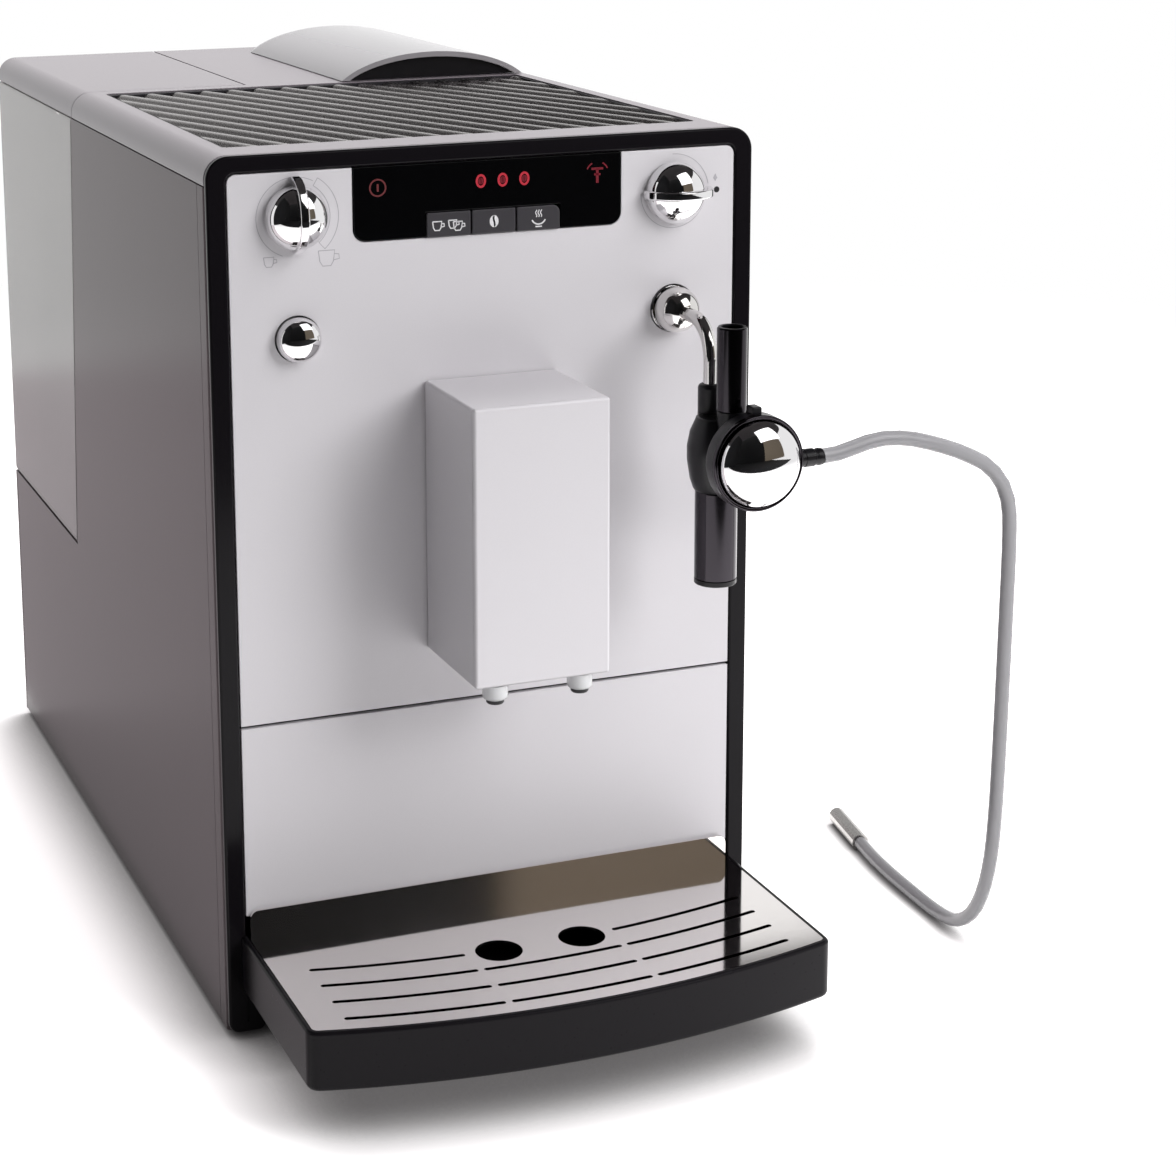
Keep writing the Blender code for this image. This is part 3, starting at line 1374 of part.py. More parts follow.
def make_grinder():
    """Burr carrier, fixed upper burr, turning lower burr with its shaft, and the motor."""
    centre = (DOME_CENTRE_X, HOPPER_Y, 0)
    shaft_hole = GRINDER_SHAFT + CLEAR
    floor = CARRIER_BOTTOM + CARRIER_FLOOR
    carrier = (
        (BURR_BORE, CARRIER_TOP),
        (CARRIER_RADIUS, CARRIER_TOP),
        (CARRIER_RADIUS, CARRIER_BOTTOM),
        (shaft_hole, CARRIER_BOTTOM),
        (shaft_hole, floor),
        (BURR_BORE, floor),
    )
    turned("burr_carrier", carrier, centre, UPRIGHT, WHITE_PLASTIC, 24, True)
    upper_top = CARRIER_TOP - CLEAR
    upper_low = upper_top - UPPER_BURR_HEIGHT
    edge = BURR_BORE - CLEAR
    upper = (
        (UPPER_BURR_EYE, upper_top),
        (edge, upper_top),
        (edge, upper_low),
        (LOWER_BURR_RADIUS - BURR_GAP, upper_low),
    )
    turned("upper_burr", upper, centre, UPRIGHT, STEEL, 24, True)
    lower_top = upper_low - BURR_GAP
    lower_base = lower_top - LOWER_BURR_HEIGHT
    shaft_end = MOTOR_TOP + CLEAR
    lower = (
        (0, lower_top),
        (LOWER_BURR_RADIUS, lower_top),
        (LOWER_BURR_RADIUS, lower_base),
        (GRINDER_SHAFT, lower_base),
        (GRINDER_SHAFT, shaft_end),
        (0, shaft_end),
    )
    turned("lower_burr", lower, centre, UPRIGHT, STEEL, 24)
    cap = MOTOR_RADIUS - MOTOR_CAP
    motor = (
        (0, MOTOR_TOP),
        (MOTOR_RADIUS + WALL, MOTOR_TOP),
        (MOTOR_RADIUS + WALL, MOTOR_TOP - MOTOR_CAP),
        (MOTOR_RADIUS, MOTOR_TOP - MOTOR_CAP),
        (MOTOR_RADIUS, MOTOR_BOTTOM + MOTOR_CAP),
        (cap, MOTOR_BOTTOM),
        (0, MOTOR_BOTTOM),
    )
    turned("grinder_motor", motor, centre, UPRIGHT, ALUMINIUM, 24)


# Inside the housing


def make_chassis():
    """Bulkhead across the machine and the deck over the drawer."""
    edge = INNER - CLEAR
    front = behind(BULKHEAD_DEPTH)
    low = (-edge, front, FLOOR_Z + CLEAR)
    high = (edge, BULKHEAD_BACK, SEAM - CLEAR)
    chassis = block("inner_chassis", low, high, BLACK_MATT)
    deck_low = (-edge, PANEL_BACK + CLEAR, BASE + DECK_HEIGHT)
    deck_high = (edge, front + BULKHEAD_THICKNESS / 2, DECK_Z)
    fuse(chassis, block("drawer_deck", deck_low, deck_high))
    window = 0.036
    window_low = 0.210
    window_high = 0.245
    low = (-window, front - OVERRUN, window_low)
    high = (0, BULKHEAD_BACK + OVERRUN, window_high)
    cut(chassis, block("hose_window", low, high, None, "y", 0.006, 3))


def make_brew_unit():
    """Brew frame with its chamber, seen when the service cover is off, and its piston."""
    front = behind(BREW_FRONT)
    back = behind(BREW_BACK)
    low = (BREW_LEFT, front, BREW_BOTTOM)
    high = (BREW_RIGHT, back, BREW_TOP)
    frame = block("brew_frame", low, high, BLACK_MATT, "x", 0.004, 3)
    open_low = (BREW_LEFT - OVERRUN, front + BREW_PLATE, BREW_BOTTOM + BREW_PLATE)
    open_high = (BREW_RIGHT + OVERRUN, back - BREW_PLATE, BREW_TOP - BREW_PLATE)
    cut(frame, block("brew_window", open_low, open_high, None, "x", 0.003, 3))
    x = (BREW_LEFT + BREW_RIGHT) / 2
    y = (front + back) / 2
    start = (x, y, BREW_TOP - BREW_PLATE - CHAMBER_LENGTH)
    outer = CHAMBER_RADIUS + CHAMBER_WALL
    body = cylinder("chamber_body", start, UPRIGHT, outer, CHAMBER_LENGTH + BREW_PLATE / 2)
    bore_start = (x, y, start[2] - OVERRUN)
    bore = cylinder(
        "chamber_bore", bore_start, UPRIGHT, CHAMBER_RADIUS, CHAMBER_LENGTH + OVERRUN - BREW_PLATE
    )
    fuse(frame, body)
    cut(frame, bore)
    rod_hole = (x, y, BREW_BOTTOM - OVERRUN)
    cut(
        frame,
        cylinder("rod_hole", rod_hole, UPRIGHT, PISTON_ROD + CLEAR, BREW_PLATE + 2 * OVERRUN),
    )
    head_z = start[2] + CHAMBER_WALL
    rod_low = BREW_BOTTOM - PISTON_TRAVEL
    radius = CHAMBER_RADIUS - CLEAR
    profile = (
        (0, head_z + PISTON_LENGTH),
        (radius, head_z + PISTON_LENGTH),
        (radius, head_z),
        (PISTON_ROD, head_z),
        (PISTON_ROD, rod_low),
        (0, rod_low),
    )
    turned("brew_piston", profile, (x, y, 0), UPRIGHT, STEEL, 24)


def make_brew_drive():
    """Gear motor of the brew unit, standing on the pan beside it."""
    half = 0.016
    height = 0.052
    motor_radius = 0.0125
    motor_length = 0.030
    shaft = 0.004
    right = BREW_LEFT - CLEAR - shaft
    low = (right - 2 * half, BULKHEAD_BACK + CLEAR, FLOOR_Z + CLEAR)
    high = (right, BULKHEAD_BACK + CLEAR + 2 * half, FLOOR_Z + CLEAR + height)
    drive = block("brew_drive", low, high, ALUMINIUM, "xyz", 0.002, 2)
    middle = (low[1] + high[1]) / 2
    top = high[2] - half
    shaft_z = BREW_BOTTOM + shaft
    fuse(
        drive,
        cylinder(
            "drive_motor", (low[0] - motor_length, middle, top), FACING_RIGHT, motor_radius,
            motor_length + half, None, 16,
        ),
        cylinder("drive_shaft", (right - half, middle, shaft_z), FACING_RIGHT, shaft, half + shaft, None, 12),
    )


def make_pump():
    """Solenoid pump lying on the pan under the tank, with its two nozzles."""
    half = 0.015
    length = 0.034
    height = 0.036
    nozzle = 0.005
    nozzle_length = 0.018
    x = valve_x()
    y = valve_y()
    low = (x - half, y - length / 2, FLOOR_Z + CLEAR)
    high = (x + half, y + length / 2, FLOOR_Z + CLEAR + height)
    pump = block("water_pump", low, high, ALUMINIUM, "y", 0.003, 3)
    middle = (low[2] + high[2]) / 2
    barrel = 0.011
    reach = length / 2 + nozzle_length
    span = reach + reach
    fuse(
        pump,
        cylinder(
            "pump_barrel", (x, y + reach - nozzle_length / 2, middle), FACING_FRONT, barrel,
            span - nozzle_length, None, 16,
        ),
        cylinder("pump_nozzles", (x, y + reach, middle), FACING_FRONT, nozzle, span, None, 12),
    )


def make_boiler():
    """Cast heater block with its ribs, standing on the deck against the bulkhead."""
    left = -0.062
    right = -0.004
    depth = 0.034
    height = 0.078
    rib = 0.003
    rib_pitch = 0.010
    rib_proud = 0.004
    low = (left, behind(BULKHEAD_DEPTH) - CLEAR - depth, DECK_Z + CLEAR)
    high = (right, behind(BULKHEAD_DEPTH) - CLEAR, DECK_Z + CLEAR + height)
    boiler = block("heater_block", low, high, ALUMINIUM, "xz", 0.003, 2)
    count = int(height / rib_pitch) - 1
    for i in range(count):
        z = low[2] + rib_pitch * (i + 1)
        rib_low = (left + rib, low[1] - rib_proud, z)
        rib_high = (right - rib, low[1] + rib, z + rib)
        fuse(boiler, block(f"heater_rib_{i}", rib_low, rib_high))
    port = 0.004
    for name, x in (("port_left", left + rib_pitch), ("port_right", right - rib_pitch)):
        start = (x, (low[1] + high[1]) / 2, high[2] - rib)
        fuse(boiler, cylinder(name, start, UPRIGHT, port, rib_pitch + rib, None, 16))


def make_steam_valve():
    """Valve behind the steam knob, turned by the knob's shaft."""
    half = 0.011
    depth = 0.024
    port = 0.004
    low = (CONTROL_X - half, PANEL_BACK + CLEAR, KNOB_Z - half)
    high = (CONTROL_X + half, PANEL_BACK + CLEAR + depth, KNOB_Z + half - CLEAR)
    valve = block("steam_valve", low, high, WHITE_PLASTIC, "y", 0.002, 2)
    fuse(
        valve,
        cylinder(
            "valve_port", (CONTROL_X, high[1] - half, low[2] - half), UPRIGHT, port, half + half,
            None, 16,
        ),
    )
    start = (CONTROL_X, PANEL_FACE + SHAFT_LENGTH + CLEAR, KNOB_Z)
    bore = cylinder(
        "valve_bore", start, FACING_FRONT, SHAFT_RADIUS + SHAFT_FIT, SHAFT_LENGTH + OVERRUN
    )
    cut(valve, bore)


def make_main_board():
    """Control board standing on the deck beside the left wall, with its larger components."""
    left = -INNER + CLEAR
    right = left + BOARD_THICKNESS
    low = (left, behind(BOARD_FRONT), DECK_Z + CLEAR)
    high = (right, behind(BOARD_BACK), DECK_Z + CLEAR + BOARD_TALL)
    board = block("main_board", low, high, CIRCUIT)
    names = ("transformer", "relay", "capacitor", "heat_sink", "connectors")
    for name, (depth, deep, lift, tall, proud) in zip(names, BOARD_PARTS):
        part_low = (right - BOARD_THICKNESS / 2, low[1] + depth, low[2] + lift)
        part_high = (right + proud, low[1] + depth + deep, low[2] + lift + tall)
        fuse(board, block(name, part_low, part_high))


# Milk frother


def make_frother():
    """Frother body on the pipe's end, its air tube, sleeve, dial housing and milk dial."""
    axis_y = behind(-FROTHER_REACH)
    pipe_y = behind(-PIPE_REACH)
    top = DIAL_Z + FROTHER_RISE
    bottom = DIAL_Z - FROTHER_FALL
    tall = top - bottom
    bulge_shares = ((0.78, 1.0), (0.92, 0.90), (1.0, 0.62), (1.0, 0.38), (0.86, 0.12), (0.74, 0.0))
    profile = [(0, top)]
    for wide_share, high_share in bulge_shares:
        profile.append((FROTHER_RADIUS * wide_share, bottom + tall * high_share))
    profile.append((0, bottom))
    body = turned(
        "frother_body", profile, (CONTROL_X, axis_y, 0), UPRIGHT, BLACK_GLOSS, 24
    )
    neck_start = (CONTROL_X, pipe_y, top - NECK_RADIUS)
    neck_length = DIAL_Z + NECK_RISE - neck_start[2]
    neck = cylinder("frother_neck", neck_start, UPRIGHT, NECK_RADIUS, neck_length, None, 20)
    arm_x = CONTROL_X + DIAL_X / 2
    arm_start = (arm_x, axis_y, DIAL_Z)
    arm_length = DIAL_BACK - FROTHER_REACH - CLEAR
    arm = cylinder("frother_arm", arm_start, FACING_FRONT, ARM_RADIUS, arm_length, None, 20)
    tube_y = behind(-AIR_TUBE_REACH)
    tube_x = CONTROL_X + AIR_TUBE_X
    seat_start = (tube_x, tube_y, DIAL_Z)
    seat_radius = AIR_TUBE_RADIUS - CLEAR
    seat = cylinder("air_seat", seat_start, UPRIGHT, seat_radius, AIR_SEAT_RISE, None, 24)
    fuse(body, neck, arm, seat)
    bore_start = (CONTROL_X, pipe_y, DIAL_Z + PIPE_END_RISE - CLEAR)
    bore_length = NECK_RISE - PIPE_END_RISE + OVERRUN
    bore = cylinder(
        "neck_bore", bore_start, UPRIGHT, PIPE_RADIUS + CLEAR, bore_length, None, 16
    )
    cut(body, bore)
    tube_low = DIAL_Z + AIR_SEAT_RISE + CLEAR
    tube_top = DIAL_Z + AIR_TUBE_RISE
    thick = AIR_TUBE_RADIUS / 4
    air = (
        (0, tube_low + thick),
        (AIR_TUBE_RADIUS - thick, tube_low + thick),
        (AIR_TUBE_RADIUS - thick, tube_top),
        (AIR_TUBE_RADIUS, tube_top),
        (AIR_TUBE_RADIUS, tube_low),
        (0, tube_low),
    )
    turned("air_tube", air, (tube_x, tube_y, 0), UPRIGHT, DARK_CHROME, 24)
    sleeve_top = bottom - CLEAR
    sleeve_low = DIAL_Z - SLEEVE_FALL
    cap = SLEEVE_RADIUS - SLEEVE_BORE
    sleeve = (
        (0, sleeve_top),
        (SLEEVE_RADIUS, sleeve_top),
        (SLEEVE_RADIUS, sleeve_low),
        (SLEEVE_BORE, sleeve_low),
        (SLEEVE_BORE, sleeve_top - cap),
        (0, sleeve_top - cap),
    )
    turned("frother_sleeve", sleeve, (CONTROL_X, axis_y, 0), UPRIGHT, DARK_CHROME, 28)


def make_dial():
    """Dial housing with the milk nipple on its side, and the chrome milk dial in it."""
    x = CONTROL_X + DIAL_X
    z = DIAL_Z
    back_y = behind(-DIAL_BACK)
    depth = DIAL_FRONT - DIAL_BACK
    inner = DIAL_RADIUS - DIAL_RIM
    edge = DIAL_RIM / 3
    profile = (
        (0, DIAL_FLOOR),
        (inner, DIAL_FLOOR),
        (inner, depth),
        (DIAL_RADIUS - edge, depth),
        (DIAL_RADIUS, depth - edge),
        (DIAL_RADIUS, edge),
        (DIAL_RADIUS - DIAL_RIM, 0),
        (0, 0),
    )
    housing = turned("dial_housing", profile, (x, back_y, z), FACING_FRONT, BLACK_GLOSS, 30)
    start = (x + inner + DIAL_RIM / 2, behind(-NIPPLE_REACH), z - NIPPLE_DROP)
    length = CONTROL_X + NIPPLE_END - start[0]
    nipple = cylinder("milk_nipple", start, FACING_RIGHT, NIPPLE_RADIUS, length, None, 16)
    fuse(housing, nipple)
    radius = inner - CLEAR
    low = DIAL_FLOOR + CLEAR
    lip = depth - edge
    dome_points = []
    steps = 5
    for i in range(steps + 1):
        angle = QUARTER * i / steps
        dome_points.append((radius * math.sin(angle), lip + DIAL_DOME * math.cos(angle)))
    dome_points[0] = (0, lip + DIAL_DOME)
    dome_points += [(radius, low), (0, low)]
    turned("milk_dial", dome_points, (x, back_y, z), FACING_FRONT, CHROME, 30)


def smooth_route(points, step):
    """Points about a step apart on a smooth curve through the route."""
    route = [Vector(point) for point in points]
    first = route[0] + (route[0] - route[1])
    last = route[-1] + (route[-1] - route[-2])
    ends = [first] + route + [last]
    dense = []
    cuts = 8
    for i in range(1, len(ends) - 2):
        before, a, b, after = ends[i - 1], ends[i], ends[i + 1], ends[i + 2]
        for j in range(cuts):
            t = j / cuts
            dense.append(
                0.5
                * (
                    2 * a
                    + (b - before) * t
                    + (2 * before - 5 * a + 4 * b - after) * t * t
                    + (3 * a - before - 3 * b + after) * t * t * t
                )
            )
    dense.append(route[-1])
    kept = [dense[0]]
    for point in dense[1:-1]:
        if (point - kept[-1]).length >= step:
            kept.append(point)
    if (dense[-1] - kept[-1]).length < step / 2:
        kept.pop()
    kept.append(dense[-1])
    return kept


def make_hose():
    """Milk hose and the suction tip at its end, both lying free."""
    end_x = CONTROL_X + NIPPLE_END + CLEAR
    end_y = behind(-NIPPLE_REACH)
    rise = (DIAL_Z - NIPPLE_DROP) / HOSE_ROUTE[0][2]
    route = []
    for across, back, height in HOSE_ROUTE:
        lifted = height * rise if height > HOSE_LIES else height
        route.append((end_x + across, end_y + back, lifted))
    points = smooth_route(route, HOSE_POINT_STEP)
    tube("milk_hose", points, HOSE_RADIUS, SILICONE, 2)
    length = sum((b - a).length for a, b in zip(points, points[1:]))
    print("hose length", round(length, 4))
    along = (points[-1] - points[-2]).normalized()
    along.z = 0
    along.normalize()
    start = points[-1] + along * CLEAR
    turn = Vector((0, 0, 1)).rotation_difference(along).to_euler()
    cylinder("hose_tip", start, turn, TIP_RADIUS, TIP_LENGTH, STEEL, 14)


def build():
    make_base()
    make_feet()
    make_side_walls()
    make_service_cover()
    make_back_wall()
    make_mains_gland()
    make_top_cover()
    make_cup_plate()
    make_bezel()
    make_upper_front()
    make_control_panel()
    make_knob("dose_knob", -CONTROL_X, True)
    make_knob("steam_knob", CONTROL_X, False)
    make_power_button()
    make_steam_outlet()
    make_spout()
    make_spout_guide()
    make_tray()
    make_lower_front()
    make_grounds_container()
    make_grate()
    make_tank()
    make_tank_lid()
    make_tank_bay()
    make_hopper_lid()
    make_hopper()
    make_grinder()
    make_chassis()
    make_brew_unit()
    make_brew_drive()
    make_pump()
    make_boiler()
    make_steam_valve()
    make_main_board()
    make_frother()
    make_dial()
    make_hose()


build()
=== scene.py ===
"""Studio picture of a slim bean to cup coffee machine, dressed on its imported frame."""

import math

import bmesh
import bpy
from mathutils import Matrix, Vector


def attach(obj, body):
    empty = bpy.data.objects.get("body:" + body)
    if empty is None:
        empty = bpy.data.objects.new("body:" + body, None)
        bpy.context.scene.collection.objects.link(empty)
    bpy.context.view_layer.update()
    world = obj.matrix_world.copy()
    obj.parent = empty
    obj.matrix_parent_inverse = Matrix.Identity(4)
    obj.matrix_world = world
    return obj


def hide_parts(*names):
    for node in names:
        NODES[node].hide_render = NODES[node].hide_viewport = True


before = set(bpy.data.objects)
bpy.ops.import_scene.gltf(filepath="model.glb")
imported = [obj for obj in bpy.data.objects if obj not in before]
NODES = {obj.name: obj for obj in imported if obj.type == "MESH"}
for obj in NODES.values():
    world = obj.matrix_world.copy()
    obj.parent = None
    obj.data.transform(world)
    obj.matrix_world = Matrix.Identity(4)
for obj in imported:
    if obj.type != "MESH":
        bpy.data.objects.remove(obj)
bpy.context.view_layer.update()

# Sizes and places shared with the frame, in metres: X to the right, Y to the rear, Z up
FRONT = -0.1355
BACK = 0.2275
HALF = 0.100
WALL = 0.0025
INNER = HALF - WALL
BASE = 0.003
TOP = 0.314
SEAM = 0.304
CLEAR = 0.0003
SHELL_FRONT = FRONT + 0.0033
PANEL = FRONT + 0.0005
PANEL_THICK = 0.0022
PANEL_HALF = 0.0929
PANEL_TOP = 0.3077
GLASS = PANEL - 0.0006
GLASS_LOW = 0.2825
LEG_HALF = 0.0863
RIM_Z = 0.0395
BED_HALF = 0.088
BED_FRONT = FRONT + 0.022
BED_BACK = FRONT + 0.198488
LID_FRONT = FRONT + 0.206988
TANK_FRONT = FRONT + 0.208988
TANK_X = -0.0276
HOLLOW_LOW = 0.298
HOLLOW_TOP = 0.3085
HOPPER_X = 0.0520
HOPPER_Y = 0.126493
TONGUE_BACK = FRONT + 0.15609 - 0.008
SERVICE_LOW = (FRONT + 0.16609, BASE + 0.032)
SERVICE_HIGH = (FRONT + 0.330, TOP - 0.029)
CONTROL_X = 0.0695
KNOB_Z = 0.2922
BUTTON_Z = 0.2507
KEYS = (-0.0152, 0.0013, 0.0178)
KEY_Z = 0.2865
NOZZLE_X = 0.0155
COFFEE_Z = 0.1942
DIAL_X = CONTROL_X + 0.0045
DIAL_Y = FRONT - 0.0512
DIAL_Z = 0.2075
BALL_Y = FRONT - 0.0030
PIPE_Y = FRONT - 0.0305
FROTHER_Y = FRONT - 0.0360
AIR_X = CONTROL_X + 0.0015
AIR_Y = FRONT - 0.0440


# Materials


def colour(code):
    """The linear colour of an sRGB hex value."""
    parts = []
    for i in (1, 3, 5):
        share = int(code[i : i + 2], 16) / 255
        parts.append(share / 12.92 if share <= 0.04045 else ((share + 0.055) / 1.055) ** 2.4)
    return (*parts, 1.0)


def add(tree, kind, values=None, links=None, **settings):
    """Adds one node with its settings, its constant sockets and its links."""
    made = tree.nodes.new(kind)
    for name, value in settings.items():
        setattr(made, name, value)
    for name, value in (values or {}).items():
        made.inputs[name].default_value = value
    for name, source in (links or {}).items():
        tree.links.new(source, made.inputs[name])
    return made


def surface(name, code, metallic, roughness, **sockets):
    """A material with its Principled shader's own sockets set."""
    made = bpy.data.materials.new(name)
    made.use_nodes = True
    shader = made.node_tree.nodes["Principled BSDF"]
    shader.inputs["Base Color"].default_value = colour(code)
    shader.inputs["Metallic"].default_value = metallic
    shader.inputs["Roughness"].default_value = roughness
    for socket, value in sockets.items():
        shader.inputs[socket.replace("_", " ")].default_value = value
    return made


def blend(material, factor, first, second):
    """Makes the base colour pass from the first to the second sRGB value."""
    tree = material.node_tree
    mix = add(tree, "ShaderNodeMix", links={"Factor": factor}, data_type="RGBA")
    mix.inputs["A"].default_value = colour(first)
    mix.inputs["B"].default_value = colour(second)
    tree.links.new(mix.outputs["Result"], tree.nodes["Principled BSDF"].inputs["Base Color"])


M = {}


def finish(
    key, label, code, size, low, high, metallic=0.0, bump=0.0, stretch=(1, 1, 1), tint=None, **sockets
):
    """One finish with a noise of a real size in metres that varies its roughness, and bumps or tints it."""
    M[key] = surface(label, code, metallic, (low + high) / 2, **sockets)
    tree = M[key].node_tree
    shader = tree.nodes["Principled BSDF"]
    place = add(tree, "ShaderNodeTexCoord")
    turn = add(tree, "ShaderNodeMapping", {"Scale": stretch}, {"Vector": place.outputs["Object"]})
    scale = {"Scale": 1 / size, "Detail": 2.0}
    noise = add(tree, "ShaderNodeTexNoise", scale, {"Vector": turn.outputs["Vector"]})
    limits = {"From Min": 0.15, "From Max": 0.85, "To Min": low, "To Max": high}
    spread = add(tree, "ShaderNodeMapRange", limits, {"Value": noise.outputs["Fac"]})
    tree.links.new(spread.outputs["Result"], shader.inputs["Roughness"])
    if bump:
        depth = {"Strength": 1.0, "Distance": bump}
        relief = add(tree, "ShaderNodeBump", depth, {"Height": noise.outputs["Fac"]})
        tree.links.new(relief.outputs["Normal"], shader.inputs["Normal"])
    if tint:
        blend(M[key], noise.outputs["Fac"], *tint)


def painted_shade_down(material, upper, lower):
    """Painted shade: colour that passes from the upper height's to the lower height's, darker towards the
    bottom.
    """
    tree = material.node_tree
    place = add(tree, "ShaderNodeTexCoord")
    split = add(tree, "ShaderNodeSeparateXYZ", links={"Vector": place.outputs["Object"]})
    limits = {"From Min": lower[1], "From Max": upper[1]}
    height = add(
        tree, "ShaderNodeMapRange", limits, {"Value": split.outputs["Z"]}, interpolation_type="SMOOTHSTEP"
    )
    blend(material, height.outputs["Result"], lower[0], upper[0])


def make_plastics():
    """Finishes of the mouldings."""
    # Lacquered mouldings of the sides: a warm grey that mirrors little, even seen along the wall.
    finish(
        "anthracite", "lacquered ABS anthracite", "#6F6467", 0.0012, 0.21, 0.23,
        tint=("#6E6366", "#706568"), Specular_IOR_Level=0.06,
    )
    # The same lacquer on the top shell and the tank lid, painted lighter: a lit copy of the side lacquer,
    # standing in for the bright reflection it shows when seen along the surface.
    finish(
        "anthracite_painted_lighter", "lacquered ABS top shell painted lighter", "#8A8288", 0.0012, 0.25, 0.27,
        tint=("#898187", "#8B8389"),
    )
    # Silver paint with fine flake: a bright satin front with a soft roll-off.
    finish(
        "silver", "silver flake paint on ABS", "#D3D0D4", 0.0006, 0.40, 0.44, 0.15,
        tint=("#D1CED2", "#D5D2D6"),
    )
    # Piano black insert of the controls: deep gloss that mirrors the studio faintly.
    finish("piano", "polished black ABS", "#050506", 0.002, 0.08, 0.12, Specular_IOR_Level=0.2)
    # The frame round the front: the same black with a thin haze on it.
    finish("frame", "black ABS frame", "#121013", 0.002, 0.12, 0.16, Specular_IOR_Level=0.1)
    # Spark-eroded polypropylene: fine matt grain.
    finish("matt", "spark-eroded black PP", "#232125", 0.0005, 0.42, 0.58, bump=0.00004)
    # Tray moulding: nearly black, with a satin gloss.
    finish(
        "tray", "satin anthracite ABS", "#252127", 0.001, 0.27, 0.29,
        tint=("#151316", "#161417"), Specular_IOR_Level=0.1,
    )
    # Soft-touch keys with a faint sheen.
    finish("key", "satin grey ABS", "#343236", 0.0004, 0.32, 0.44, bump=0.00001)
    # Frother mouldings: black with a satin gloss.
    finish(
        "frother_black", "satin black ABS", "#121114", 0.0006, 0.26, 0.36,
        bump=0.000008, Specular_IOR_Level=0.35,
    )
    # Clear styrene of the small pins.
    finish("clear", "clear SAN", "#EFEFED", 0.02, 0.02, 0.05, Transmission_Weight=1.0, IOR=1.5)
    # Nozzles: clear styrene that its wall thickness turns milky.
    finish("milky", "milky SAN", "#E8E8EA", 0.001, 0.12, 0.18, Transmission_Weight=0.3, IOR=1.5)
    # Hopper lid: a pale grey smoked styrene, glossy, hardly see-through.
    finish("dome", "pale grey SAN", "#A8A4A8", 0.001, 0.10, 0.14, Transmission_Weight=0.25, IOR=1.5)
    # Frosted tank: milky grey that lets shapes inside show as shadows, with painted shade that darkens it
    # towards its floor.
    finish(
        "tank", "frosted SAN", "#C4C1BF", 0.001, 0.19, 0.21,
        Transmission_Weight=0.7, IOR=1.5, Specular_IOR_Level=0.2,
    )
    # Painted shade: the tank's colour darkens from its upper part down towards its floor.
    painted_shade_down(M["tank"], ("#C6C3C1", 0.235), ("#8A8382", 0.140))
    # Water filter that shows as a shadow through the tank.
    finish("filter", "grey PP filter body", "#6E6A6C", 0.002, 0.45, 0.6)
    # Smoked hopper funnel, under the lid.
    finish("smoked", "smoked SAN", "#3A3537", 0.01, 0.12, 0.2, Transmission_Weight=0.5, IOR=1.5)
    # Nitrile rubber: dull black.
    finish("rubber", "black nitrile rubber", "#1B1B1B", 0.001, 0.6, 0.8, bump=0.00003)
    # Acetal mouldings: waxy white.
    finish("acetal", "white POM", "#DCDCD7", 0.004, 0.34, 0.46)
    # Solder-resist laminate: lacquered green, slightly uneven.
    finish("laminate", "green FR4 laminate", "#1E5A37", 0.002, 0.3, 0.45, tint=("#1B5233", "#22633D"))
    # Translucent silicone hose: grey with a bright line along it.
    finish(
        "silicone", "translucent silicone", "#9A999C", 0.004, 0.14, 0.24,
        Transmission_Weight=0.35, IOR=1.41,
    )


def make_metals():
    """Finishes of plated, polished, pressed, turned and cast metal."""
    # Nickel-chrome plate: a clean mirror.
    finish("chrome", "bright chrome plate", "#E6E5E6", 0.01, 0.03, 0.05, 1.0)
    # Black-chrome plate: a smoked mirror.
    finish("dark_chrome", "black chrome plate", "#3C393D", 0.002, 0.09, 0.12, 1.0)
    # Drawn tube, polished before it was plated: a mirror with a trace of the bend.
    finish("pipe_chrome", "bent chrome pipe", "#DAD8D6", 0.01, 0.05, 0.08, 1.0)
    # Polished stainless sheet: a mirror with a trace of the rolling direction.
    finish("polished", "polished stainless sheet", "#F0ECEA", 0.004, 0.05, 0.08, 1.0, stretch=(1, 12, 12))
    # Pressed stainless ribs: brushed along the ribs.
    finish("ribbed", "pressed stainless sheet", "#ABA7A6", 0.003, 0.24, 0.30, 1.0, stretch=(8, 1, 8))
    # Machined steel of burrs, piston and hose tip.
    finish("steel", "turned steel", "#B5B3B0", 0.002, 0.2, 0.32, 1.0, stretch=(4, 4, 1))
    # Die-cast aluminium: pale and slightly rough.
    finish("casting", "die-cast aluminium", "#A9ABAD", 0.002, 0.36, 0.5, 1.0, bump=0.00003)


def make_inks():
    """Finishes of the printed signs and of the lamps behind the panel."""
    # Pad-printed ink: flat, slightly dusty.
    for key, label, code, low, high in (
        ("ink_white", "white pad-print ink", "#D4D3D5", 0.45, 0.6),
        ("ink_grey", "grey pad-print ink", "#A5A2A8", 0.45, 0.6),
        ("ink_black", "black pad-print ink", "#1A191B", 0.4, 0.55),
    ):
        finish(key, label, code, 0.0004, low, high)
    # Lamps under smoked glass: red diffusers that glow faintly.
    for key, label, code, size, glow, strength in (
        ("lamp_deep", "deep red LED diffuser", "#540C18", 0.001, "#7A1224", 0.35),
        ("lamp_red", "red LED diffuser", "#8C1A28", 0.0006, "#B82A38", 0.4),
        ("lamp_dim", "dim red LED diffuser", "#552124", 0.0006, "#6A2E30", 0.25),
    ):
        finish(key, label, code, size, 0.35, 0.5, Emission_Color=colour(glow), Emission_Strength=strength)


